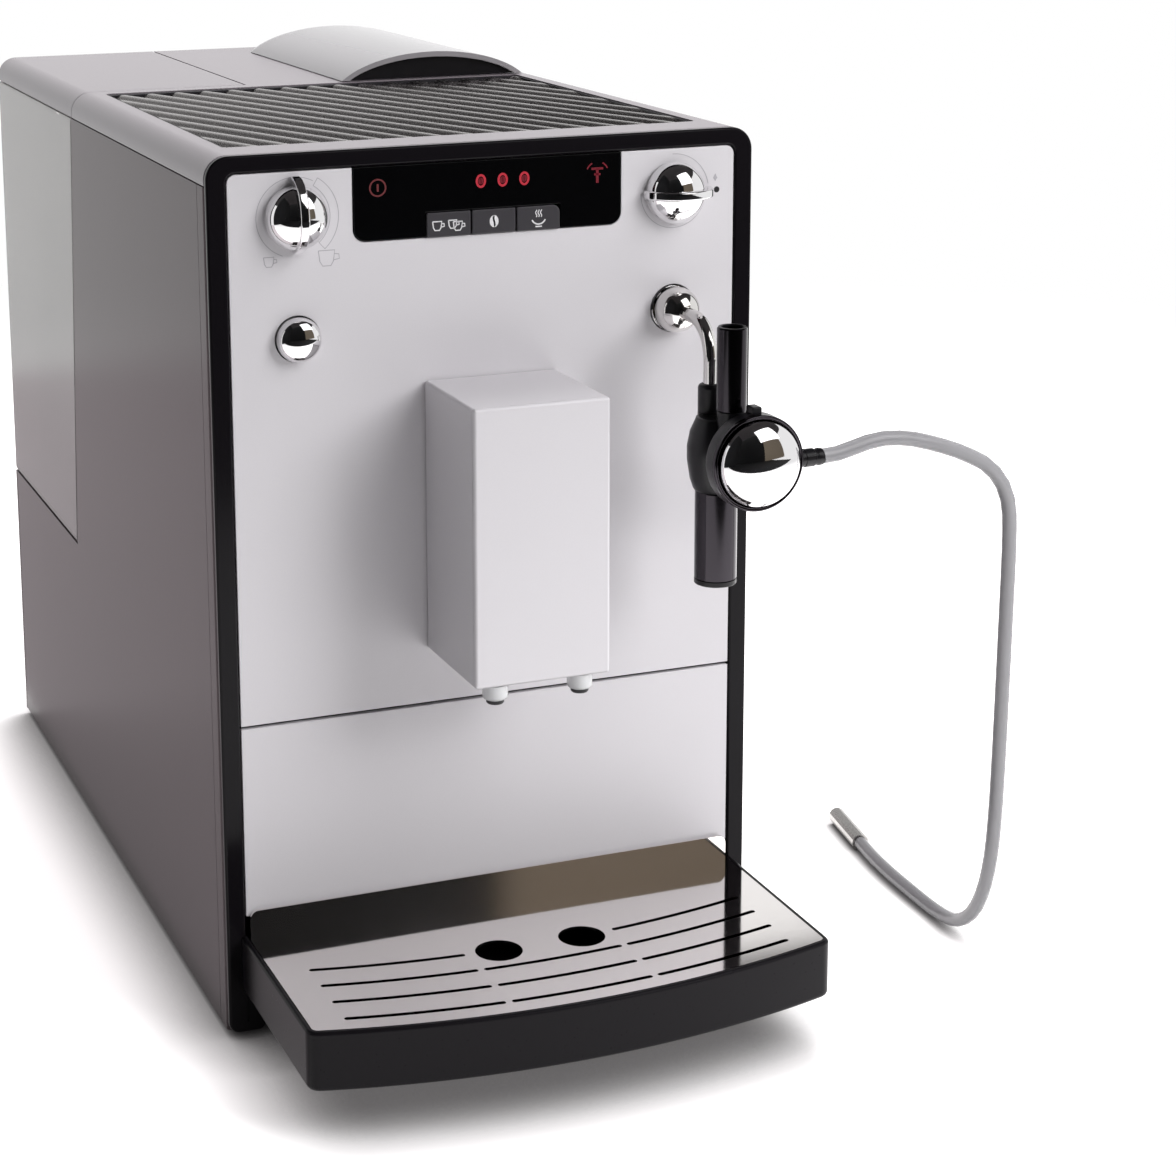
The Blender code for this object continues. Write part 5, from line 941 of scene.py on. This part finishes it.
def make_front_panels():
    """Silver front with soft edges and the holes for what passes through, and the drawer's front."""
    edge, notch, corner, low = 0.003, 0.0493, 0.0045, 0.1160
    notch_z = GLASS_LOW - CLEAR
    right = [(PANEL_HALF, low)] + arc((PANEL_HALF - edge, PANEL_TOP - edge), edge, 0, 90, 6)
    right += [(notch, PANEL_TOP)] + arc((notch - corner, notch_z + corner), corner, 0, -90, 10)
    back = PANEL + PANEL_THICK
    panel = plate("upper_front_painted", right + mirrored(right), back, PANEL_THICK)
    for x, z, radius in (
        (-CONTROL_X, KNOB_Z, 0.0034), (CONTROL_X, KNOB_Z, 0.0034),
        (-CONTROL_X, BUTTON_Z, 0.0080), (CONTROL_X, BUTTON_Z, 0.0086), (0, COFFEE_Z, 0.0033),
    ):
        carve(panel, rod("hole", radius, -0.006, 0.004, (x, PANEL, z), "-Y", 56))
    soften(panel, 0.0003)
    finished(panel, "silver", "housing", ["upper_front_panel"])
    lower = slab("lower_front_painted", (-PANEL_HALF, PANEL, 0.0462), (PANEL_HALF, back, 0.1150))
    soften(lower, 0.0003)
    finished(lower, "silver", "drawer", ["lower_front_panel"])


def make_bezel():
    """Glossy black frame with soft edges, its legs wider beside the drawer."""
    inner, leg, step, under = 0.0932, 0.0870, 0.0380, 0.3080
    foot, corner, inside, depth = 0.0040, 0.0080, 0.0030, 0.0030
    right = arc((HALF - foot, BASE + foot), foot, -90, 0, 8)
    right += arc((HALF - corner, TOP - corner), corner, 0, 90, 16)
    hole = arc((-leg - foot / 2, BASE + foot / 2), foot / 2, -90, 0, 5)
    hole += [(-leg, step), (-inner, step)]
    hole += arc((-inner + inside, under - inside), inside, 180, 90, 8)
    outline = right + mirrored(right) + hole + mirrored(hole)
    ring = plate("front_bezel_gloss", outline, FRONT + depth, depth)
    soften(ring, 0.0009, 4)
    half = 0.00035
    grooves = []
    for x in (-inner - 0.0001, inner + 0.0001):
        low = (x - half, FRONT - 0.001, BASE + 0.004)
        grooves.append(slab("leg_groove", low, (x + half, FRONT + 0.0007, step + 0.001)))
    carve(ring, *grooves)
    finished(ring, "frame", "housing", ["front_bezel"])


def make_control_panel():
    """Glossy black insert with soft edges and three windows for the keys."""
    half, corner = 0.0490, 0.0042
    window_half, window_tall = 0.0083, 0.00455
    right = [(half, PANEL_TOP)] + arc((half - corner, GLASS_LOW + corner), corner, 0, -90, 12)
    back = PANEL + PANEL_THICK
    panel = plate("control_panel_gloss", right + mirrored(right), back, back - GLASS)
    windows = []
    for x in KEYS:
        low = (x - window_half, GLASS - 0.002, KEY_Z - window_tall)
        windows.append(slab("window", low, (x + window_half, PANEL + 0.004, KEY_Z + window_tall)))
    carve(panel, *windows)
    soften(panel, 0.00025, 2)
    finished(panel, "piano", "housing", ["control_panel"])


# Flat drawings: lines of ink


def stroke(points, width):
    """Outline of a line of even width through the points, open at its ends."""
    left, right = [], []
    for i, (x, z) in enumerate(points):
        before = points[max(i - 1, 0)]
        after = points[min(i + 1, len(points) - 1)]
        along = Vector((after[0] - before[0], after[1] - before[1])).normalized()
        left.append((x - along.y * width / 2, z + along.x * width / 2))
        right.append((x + along.y * width / 2, z - along.x * width / 2))
    return left + right[::-1]


def ring_band(centre, radius, first, last, width, steps=32):
    """A part of a thin ring as an outline."""
    return stroke(arc(centre, radius, first, last, steps), width)


def moved(points, x, z, scale):
    """Drawing points scaled and set at a place."""
    return [(x + a * scale, z + b * scale) for a, b in points]


def ink(name, outlines, face_y, key, body):
    """Outlines printed on a face that looks to the front, as one thin piece."""
    parts = [plate(name, outline, face_y + 0.00001, 0.00006) for outline in outlines]
    finished(join(name, *parts), key, body)


def cup_drawing(x, z, size, line):
    """A cup with its handle in line drawing, about one size wide."""
    bowl = [(-0.42, 0.34), (-0.36, -0.12), (-0.24, -0.32), (0.12, -0.32), (0.24, -0.12), (0.30, 0.34)]
    handle = [(0.28, 0.18), (0.48, 0.16), (0.50, -0.04), (0.25, -0.08)]
    return [stroke(moved(points, x, z, size), line) for points in (bowl + bowl[:1], handle)]


def bean_half(x, z, size, side):
    """One half of a coffee bean, bounded by its S-shaped crease."""
    rim = arc((0, 0), 1.0, 90, 90 + side * 180, 16)
    crease = [(0.14 * math.sin(t * math.pi / 4) + side * 0.20, -1 + t / 4) for t in range(1, 8)]
    return [(x + a * size * 0.78, z + b * size) for a, b in rim + crease]


def make_keys():
    """Three keys side by side, each with its printed sign."""
    face = PANEL - 0.0010
    depth, half, tall, turn = 0.0045, 0.0080, 0.00425, 0.0005
    for name, x in zip(("cup_key", "strength_key", "steam_key"), KEYS):
        turns = [0.0026 if name == "steam_key" else turn, turn, turn, turn]
        outline = rounded((x - half, KEY_Z - tall), (x + half, KEY_Z + tall), turns, 6)
        key = plate(name + "_cap", outline, face + depth, depth)
        soften(key, 0.00045)
        finished(key, "key", name, [name])
    line = 0.00042
    cups = []
    for x, drop, size in ((-0.0192, 0.0004, 0.0046), (-0.0136, 0.0001, 0.0042), (-0.0117, 0.0008, 0.0046)):
        cups += cup_drawing(x, KEY_Z - drop, size, line)
    ink("cup_sign", cups, face, "ink_white", "cup_key")
    bean = [bean_half(KEYS[1], KEY_Z, 0.0021, side) for side in (-1, 1)]
    ink("bean_sign", bean, face, "ink_white", "strength_key")
    x = KEYS[2]
    bowl = ring_band((x, KEY_Z + 0.0006), 0.0027, 205, 335, 0.0005, 24)
    steam = [bowl, stroke([(x - 0.0012, KEY_Z - 0.0029), (x + 0.0012, KEY_Z - 0.0029)], line)]
    for shift in (-0.0009, 0.0, 0.0009):
        wave = [(x + shift + 0.00025 * math.sin(i * 1.1), KEY_Z + 0.0004 + i * 0.00036) for i in range(8)]
        steam.append(stroke(wave, 0.00034))
    ink("steam_sign", steam, face, "ink_white", "steam_key")


def make_lamp_signs():
    """Lit signs of the control panel: ready ring, bean lamps and steam tap."""
    x, z = -0.0405, 0.3005
    ready = [ring_band((x, z), 0.0028, -90, 270, 0.00055, 40)]
    ready.append(stroke([(x, z + 0.0013), (x, z - 0.0013)], 0.0007))
    ink("ready_lamp", ready, GLASS, "lamp_dim", "housing")
    z = 0.3006
    rims, cores = [], []
    for x in (-0.0033, 0.0047, 0.0127):
        oval = [(x + a * 0.0015, z + b * 0.0020) for a, b in arc((0, 0), 1.0, 0, 360, 28)]
        rims.append(stroke(oval, 0.0008))
        cores += [bean_half(x, z, 0.0012, side) for side in (-1, 1)]
    ink("bean_lamps", rims, GLASS, "lamp_red", "housing")
    ink("bean_lamp_cores", cores, GLASS, "lamp_deep", "housing")
    x, z = 0.0400, 0.3008
    tap = [
        stroke([(x - 0.0022, z + 0.0016), (x + 0.0022, z + 0.0016)], 0.0008),
        stroke([(x, z + 0.0016), (x, z - 0.0034)], 0.0010),
        stroke([(x - 0.0012, z - 0.0004), (x + 0.0012, z - 0.0004)], 0.0007),
        ring_band((x, z - 0.0002), 0.0042, 25, 62, 0.0005, 8),
        ring_band((x, z - 0.0002), 0.0042, 118, 155, 0.0005, 8),
    ]
    ink("steam_lamp", tap, GLASS, "lamp_deep", "housing")


def make_scales():
    """Printed scales round the knobs: arcs, a band and two cups, and arcs with a drop and a dot."""
    x, z, line = -CONTROL_X, KNOB_Z, 0.00022
    near, far = 0.0122, 0.0152
    scale = [ring_band((x, z), 0.0136, 62, 250, line, 48)]
    scale += [ring_band((x, z), radius, -48, 58, line) for radius in (near, far)]
    for across, up in ((0.669, -0.743), (0.53, 0.848)):
        scale.append(stroke([(x + radius * across, z + radius * up) for radius in (near, far)], line))
    scale += cup_drawing(x - 0.0092, z - 0.0146, 0.0050, 0.00028)
    scale += cup_drawing(x + 0.0112, z - 0.0146, 0.0080, 0.00030)
    ink("dose_scale", scale, PANEL, "ink_grey", "housing")
    x = CONTROL_X
    scale = [ring_band((x, z), 0.0136, 10, 92, line), ring_band((x, z), 0.0126, 180, 330, 0.0002)]
    scale.append(moved([(0.0162, 0.0030), (0.0154, 0.0042), (0.0162, 0.0058), (0.0170, 0.0042)], x, z, 1))
    ink("steam_scale", scale, PANEL, "ink_grey", "housing")
    ink("steam_mark", [arc((x + 0.0168, z), 0.0011, 0, 345, 16)], PANEL, "ink_black", "housing")


# Top


def make_top_cover():
    """Top shell drawn along its section: round rails, sunk bed, hopper mouth, tank corner."""
    turn, mouth = 0.0080, 0.036
    section = [(HALF, SEAM)] + arc((HALF - turn, TOP - turn), turn, 0, 90, 16)
    cover = plate("top_cover_shell", section + mirrored(section), BACK, BACK - SHELL_FRONT)
    soften(cover, 0.0004, 2, 60)
    above, edge = 0.320, 0.0005
    carve(
        cover,
        slab("hollow", (-INNER, SHELL_FRONT + WALL, HOLLOW_LOW), (INNER, BACK - WALL, HOLLOW_TOP)),
        rounded_box("bed", (-BED_HALF, BED_FRONT, 0.3105), (BED_HALF, BED_BACK, above), 0.002),
        slab("corner", (-0.106, LID_FRONT - edge, HOLLOW_LOW), (TANK_X + edge, BACK + 0.006, above)),
        rod("mouth", mouth, 0, 0.03, (HOPPER_X, HOPPER_Y, 0.295), "Z", 72),
    )
    # Painted light: the top shell takes the lacquer's lighter copy.
    finished(cover, "anthracite_painted_lighter", "housing", ["top_cover"], 40)
    half, front, back, thin = BED_HALF - 0.0001, BED_FRONT + 0.0001, BED_BACK - 0.0001, 0.0012
    liner = rounded_box("bed_liner", (-half, front, 0.3106), (half, back, 0.3136), 0.0019)
    inside_low = (thin - half, front + thin, 0.300)
    carve(liner, rounded_box("liner_inside", inside_low, (half - thin, BED_BACK - 0.0042, above), thin))
    finished(liner, "matt", "housing", ())


def make_cup_plate():
    """Ribbed stainless plate: a fine wave drawn out along the ribs, then trimmed to the bed."""
    low = Vector((-0.0866, BED_FRONT + 0.0014, 0.3108))
    high = Vector((0.0866, BED_BACK - 0.0043, 0.3140))
    centre = (low + high) / 2
    reach = (high - low).length
    pitch, fine, sheet, rise, slant = 0.0105, 12, 0.0012, 0.0017, 20
    count = math.ceil(reach / pitch)
    start = -count * pitch / 2
    outline = []
    for i in range(count * fine + 1):
        lift = 0.5 - 0.5 * math.cos(2 * math.pi * i / fine)
        outline.append((start + i * pitch / fine, low.z + sheet + rise * lift ** 0.8))
    outline += [(-start, low.z), (start, low.z)]
    ribs = plate("cup_plate_pressing", outline, reach / 2, reach)
    enter_edit(ribs)
    bpy.ops.mesh.select_all(action="SELECT")
    form = bmesh.from_edit_mesh(ribs.data)
    turn = Matrix.Rotation(math.radians(slant), 3, "Z")
    bmesh.ops.rotate(form, cent=(0, 0, 0), matrix=turn, verts=form.verts[:])
    bmesh.ops.translate(form, vec=(centre.x, centre.y, 0), verts=form.verts[:])
    bmesh.update_edit_mesh(ribs.data)
    leave_edit()
    trim = rounded_box("trim", (low.x, low.y, 0.300), (high.x, high.y, 0.330), 0.0012)
    combine(ribs, "INTERSECT", [trim])
    finished(ribs, "ribbed", "cup_plate", ["cup_plate"], 50)
    profile = [(0, 0), (0.0013, 0), (0.0013, 0.0009), (0.0009, 0.0014), (0, 0.0015)]
    for i, x in enumerate((-0.0845, 0.0845)):
        pin = spun(f"plate_pin_{i}", profile, (x, high.y + 0.0018, 0.3120), "Z", 20)
        finished(pin, "clear", "cup_plate", ())


def make_tank():
    """Lid of the tank with the rail's round edge, and what shows through the tank's wall."""
    turn = 0.0080
    section = arc((-HALF + turn, TOP - turn), turn, 180, 90, 16)
    outline = [(-HALF, SEAM)] + section + [(TANK_X, TOP), (TANK_X, SEAM)]
    lid = plate("tank_lid_shell", outline, BACK, BACK - LID_FRONT)
    soften(lid, 0.0005, 3, 60)
    hollow_low = (-INNER, LID_FRONT + WALL, HOLLOW_LOW)
    carve(lid, slab("lid_hollow", hollow_low, (TANK_X - WALL, BACK - WALL, HOLLOW_TOP)))
    # Painted light: the tank lid takes the lacquer's lighter copy.
    finished(lid, "anthracite_painted_lighter", "tank_lid", ["water_tank_lid"], 40)
    profile = [(0, 0), (0.0100, 0), (0.0105, 0.0005), (0.0100, 0.086), (0.0060, 0.090), (0.0055, 0.125)]
    column = spun("tank_filter", profile + [(0, 0.126)], (-0.0840, 0.176, 0.1234), "Z", 40)
    finished(column, "filter", "tank")


def vault(name, shrink, bottom, front):
    """The hopper lid's vault: half an ellipsoid at the rear, its section drawn to the front."""
    half, depth, height, sink = 0.040, 0.026, 0.0107, 0.45
    rise = height / (1 - sink)
    spread = math.sqrt(1 - sink * sink)
    turn_y = BACK - 0.003 - depth
    leave_edit()
    bpy.ops.mesh.primitive_uv_sphere_add(segments=96, ring_count=48, radius=1, location=(0, 0, 0))
    ob = bpy.context.object
    ob.name = ob.data.name = name
    ob.scale = (half / spread - shrink, depth / spread - shrink, rise - shrink)
    ob.location = (HOPPER_X, turn_y, TOP + CLEAR - rise * sink)
    bpy.ops.object.transform_apply(location=True, rotation=True, scale=True)
    bpy.ops.object.mode_set(mode="EDIT")
    for point, normal in (((0, 0, bottom), (0, 0, -1)), ((0, turn_y, 0), (0, -1, 0))):
        bpy.ops.mesh.select_all(action="SELECT")
        bpy.ops.mesh.bisect(plane_co=point, plane_no=normal, clear_outer=True, use_fill=True)
    pick(ob, lambda mid, normal: normal.y < -0.99)
    draw_out((0, front - turn_y, 0))
    settle()
    return ob


def across_lid(name, front, back):
    """A block that takes in all of the hopper lid between two depths."""
    return slab(name, (-0.05, front, 0.290), (0.15, back, 0.34))


def make_hopper_lid():
    """Pale vault over the beans, with a black arch let into its front: painted shade for the dark inside of
    the hopper.
    """
    base, front, past, rebate = TOP + CLEAR, FRONT + 0.2000, 0.001, 0.0030
    lid = vault("hopper_vault", 0.0, base, front)
    window = vault("window", 0.0022, base - 0.006, front - past)
    carve(window, across_lid("depth", front + rebate, 0.30))
    carve(lid, vault("inside", 0.0018, base - 0.006, front + 0.0048), window)
    soften(lid, 0.0004, 2)
    finished(lid, "dome", "hopper_lid", ["hopper_lid"], 40)
    # Painted shade: a black arch that stands in for the dark inside of the hopper seen through the lid.
    painted_dark_inside = vault("hopper_dark_inside_shade", 0.0024, base + 0.0001, front - past)
    before = across_lid("before", front - 0.01, front + 0.0021)
    carve(painted_dark_inside, before, across_lid("behind", front + rebate - 0.0001, 0.30))
    finished(painted_dark_inside, "frother_black", "hopper_lid", (), 40)


# Sides


def make_walls():
    """Left wall with the slanted corner left open for the tank, right wall with its opening."""
    end, seam, gap = BACK - 0.0028, SEAM - CLEAR, 0.0005
    floor, slope = BASE + 0.118 - gap, 0.020
    left = [(SHELL_FRONT, BASE), (end, BASE), (end, floor), (TANK_FRONT + slope - gap, floor)]
    left += [(TANK_FRONT - gap, seam), (SHELL_FRONT, seam)]
    right = [(SHELL_FRONT, BASE), (end, BASE), (end, seam), (SHELL_FRONT, seam)]

    def front_corner(mid, run):
        return abs(run.z) > 0.9 and mid.y < SHELL_FRONT + 0.0001 and abs(mid.x) > HALF - 0.0001

    deep, groove_y, groove_wide = 0.0004, FRONT + 0.0120, 0.0004
    for side, name, outline, facing in ((-1, "left", left, "-X"), (1, "right", right, "X")):
        wall = plate(name + "_side_shell", outline, side * INNER, WALL, facing)
        bevel_edges(wall, 0.0018, 6, front_corner)
        soften(wall, 0.0003, 2, 60)
        groove_low = (side * HALF - deep, groove_y, BASE - 0.001)
        groove_high = (side * HALF + deep, groove_y + groove_wide, seam + 0.001)
        carve(wall, slab("strip_groove", groove_low, groove_high))
        if side > 0:
            carve(wall, service_form("opening", 0.0, 0.090, 0.110))
        finished(wall, "anthracite", "housing", [name + "_side_wall"], 40)


def service_form(name, gap, near, far):
    """The service opening's rounded shape as a block from one X to another."""
    low = [place + gap for place in SERVICE_LOW]
    high = [place - gap for place in SERVICE_HIGH]
    return plate(name, rounded(low, high, [0.006 - gap] * 4, 8), near, far - near, "X")


def make_service_cover():
    """Snap-in cover over the brew unit, with a shallow finger grip at its rear edge."""
    gap, radius, depth = 0.0005, 0.0110, 0.006
    cover = service_form("service_cover_shell", gap, INNER, HALF)
    soften(cover, gap)
    middle = (SERVICE_LOW[1] + SERVICE_HIGH[1]) / 2
    profile = [(0, 0), (radius - 0.0006, 0), (radius, 0.0006), (radius, depth), (0, depth)]
    carve(cover, spun("grip", profile, (HALF - 0.0013, SERVICE_HIGH[0] - gap, middle), "X", 48))
    finished(cover, "anthracite", "service_cover", ["service_cover"], 40)


# Drawer

TRAY_HALF = 0.095
TRAY_RADIUS = 0.350
TRAY_REACH = 0.092
TRAY_TURN = 0.0040
TRAY_LOW = BASE + 0.0155
TRAY_BACK = FRONT - 0.0005
DRAIN_Y = FRONT - 0.044


def tray_outline(inset, back_y):
    """Outline of the tray from above: a flat arc in front with tight corners."""
    half = TRAY_HALF - inset
    radius = TRAY_RADIUS - inset
    centre_y = FRONT - TRAY_REACH + TRAY_RADIUS
    corner = max(TRAY_TURN - inset, TRAY_TURN / 4)
    reach = math.degrees(math.asin((half - corner) / radius))
    front = arc((0, centre_y), radius, -90 - reach, -90 + reach, 48)
    corner_y = centre_y - math.sqrt(radius * radius - half * half)
    knee, end = (half, corner_y), (half, corner_y + corner)
    turned = []
    for i in range(1, 9):
        t = i / 8
        shares = ((1 - t) ** 2, 2 * (1 - t) * t, t * t)
        turned.append(tuple(sum(s * p[k] for s, p in zip(shares, (front[-1], knee, end))) for k in (0, 1)))
    return mirrored(turned) + front + turned + [(half, back_y), (-half, back_y)]


def make_tray():
    """Drawer moulding: curved tray with a soft edge, tongue and back wall."""
    back, low = TRAY_BACK, TRAY_LOW
    tray = plate("drip_tray_moulding", tray_outline(0, back), low, RIM_Z - low, "Z")
    bevel_edges(tray, 0.0012, 4, lambda mid, run: mid.z > RIM_Z - 0.0001 and mid.y < back - 0.0001)
    bevel_edges(tray, 0.0020, 5, lambda mid, run: mid.z < low + 0.0001 and mid.y < back - 0.0001)
    wall_y, floor, side = FRONT + 0.0030, BASE + 0.0060, 0.0845
    weld_on(
        tray,
        slab("tongue", (-LEG_HALF, back - WALL, BASE + 0.0038), (LEG_HALF, TONGUE_BACK, RIM_Z - 0.0020)),
        slab("back_wall", (-LEG_HALF, wall_y, BASE + 0.0041), (LEG_HALF, wall_y + WALL, 0.1147)),
    )
    thick, tall = 0.0038, 0.05
    basin = plate("basin", tray_outline(thick, back - thick), low + 0.0022, tall, "Z")
    seat_points = [point for point in tray_outline(0.0018, back + 0.006) if point[1] <= FRONT]
    half = max(point[0] for point in seat_points)
    seat_points += [(half, PANEL), (-half, PANEL)]
    seat = plate("seat", seat_points, RIM_Z - 0.0013, tall, "Z")
    rear = slab("rear", (-side, wall_y + 0.0043, floor), (side, TONGUE_BACK - 0.0018, RIM_Z + 0.006))
    carve(tray, basin, seat, rear)
    finished(tray, "tray", "drawer", ["drip_tray"], 40)


def slot_outline(row, start, end):
    """Outline of one curved slot with round ends."""
    pitch, half = 0.0128, 0.0010
    centre = (0, DRAIN_Y - row * pitch + TRAY_RADIUS)
    first, last = [math.degrees(math.asin(x / TRAY_RADIUS)) - 90 for x in (start, end)]
    outer = arc(centre, TRAY_RADIUS + half, first, last, 12)
    inner = arc(centre, TRAY_RADIUS - half, last, first, 12)
    right, left = [(Vector(a) + Vector(b)) / 2 for a, b in ((outer[-1], inner[0]), (outer[0], inner[-1]))]
    return outer + arc(right, half, -70, 70, 5) + inner + arc(left, half, 110, 250, 5)


def make_grate():
    """Mirror-polished grate: curved plate folded up at the rear, slots and two round drains."""
    back, gap, sheet, under = TRAY_BACK, 0.0021, 0.0010, RIM_Z - 0.004
    grate = plate("drip_grate_polished", tray_outline(gap, back), RIM_Z - sheet, sheet, "Z")
    outer, inner, middle = 0.080, 0.0285, 0.0245
    cutters = []
    for row in range(4):
        spans = [(-outer, -inner), (inner, outer)]
        if row:
            spans.append((-middle, middle))
        for start, end in spans:
            cutters.append(plate("slot", slot_outline(row, start, end), under, 0.008, "Z"))
    for x in (-NOZZLE_X, NOZZLE_X):
        cutters.append(rod("drain", 0.00825, 0, 0.008, (x, DRAIN_Y, under), "Z", 48))
    carve(grate, *cutters)
    half = PANEL_HALF - 0.001
    fold = slab("fold", (-half, back - sheet, RIM_Z - sheet), (half, back, RIM_Z + 0.0092))
    bevel_edges(fold, 0.0030, 8, lambda mid, run: abs(run.y) > 0.9 and mid.z > RIM_Z)
    weld_on(grate, fold)

    def fold_line(mid, run):
        return abs(run.x) > 0.9 and abs(mid.z - RIM_Z) < 0.00005 and abs(mid.y - back + sheet) < 0.0001

    bevel_edges(grate, 0.0012, 5, fold_line)
    finished(grate, "polished", "grate", ["drip_grate"], 30)


# Milk hose: its route repeats the frame's own, from the nipple to the table
HOSE_DIAMETER = 0.0054
HOSE_START = (0.0998, -0.1915)
HOSE_STEP = 0.0058
HOSE_ROUTE = (
    (0.0000, 0.0000, 0.2068), (0.0055, 0.0000, 0.2071), (0.0112, 0.0000, 0.2084),
    (0.0169, 0.0000, 0.2099), (0.0240, 0.0001, 0.2107), (0.0307, 0.0003, 0.2102),
    (0.0376, 0.0006, 0.2088), (0.0440, 0.0009, 0.2068), (0.0528, 0.0014, 0.2037),
    (0.0612, 0.0020, 0.1998), (0.0668, 0.0026, 0.1966), (0.0721, 0.0033, 0.1917),
    (0.0760, 0.0041, 0.1857), (0.0783, 0.0048, 0.1787), (0.0793, 0.0055, 0.1700),
    (0.0799, 0.0064, 0.1560), (0.0802, 0.0073, 0.1380), (0.0804, 0.0081, 0.1180),
    (0.0805, 0.0088, 0.0980), (0.0806, 0.0096, 0.0790), (0.0808, 0.0108, 0.0610),
    (0.0811, 0.0132, 0.0430), (0.0815, 0.0182, 0.0272), (0.0820, 0.0267, 0.0142),
    (0.0826, 0.0392, 0.0062), (0.0831, 0.0547, 0.0037), (0.0836, 0.0727, 0.0036),
    (0.0845, 0.0907, 0.0036), (0.0862, 0.1077, 0.0036), (0.0888, 0.1237, 0.0036),
)


def smooth(route, step):
    """Points about a step apart on a smooth curve through the given ones."""
    ends = [2 * route[0] - route[1], *route, 2 * route[-1] - route[-2]]
    cuts = 10
    dense = []
    for before, a, b, after in zip(ends, ends[1:], ends[2:], ends[3:]):
        for t in (j / cuts for j in range(cuts)):
            square = (2 * before - 5 * a + 4 * b - after) * t * t
            cube = (3 * a - before - 3 * b + after) * t * t * t
            dense.append((2 * a + (b - before) * t + square + cube) / 2)
    kept = [dense[0]]
    for point in dense[1:]:
        if (point - kept[-1]).length >= step:
            kept.append(point)
    if (route[-1] - kept[-1]).length < step / 2:
        kept.pop()
    kept.append(route[-1])
    return kept


def make_hose():
    """The hose as one round curve along the frame's route, set on the frother's body."""
    offset = Vector((*HOSE_START, 0))
    points = smooth([Vector(point) + offset for point in HOSE_ROUTE], HOSE_STEP)
    curve = bpy.data.curves.new("hose", "CURVE")
    curve.dimensions = "3D"
    curve.bevel_depth = HOSE_DIAMETER / 2
    curve.bevel_resolution = 4
    curve.use_fill_caps = True
    spline = curve.splines.new("POLY")
    spline.points.add(len(points) - 1)
    for spot, point in zip(spline.points, points):
        spot.co = (*point, 1)
    spline.use_smooth = True
    hose = bpy.data.objects.new("hose", curve)
    bpy.context.scene.collection.objects.link(hose)
    curve.materials.append(M["silicone"])
    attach(hose, "frother")
    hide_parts("milk_hose")


make_knob("dose_knob", -CONTROL_X, True)
make_knob("steam_knob", CONTROL_X, False)
make_power_button()
make_steam_outlet()
make_frother()
make_dial()
make_spout()
make_front_panels()
make_bezel()
make_control_panel()
make_keys()
make_lamp_signs()
make_scales()
make_top_cover()
make_cup_plate()
make_tank()
make_hopper_lid()
make_walls()
make_service_cover()
make_tray()
make_grate()
make_hose()
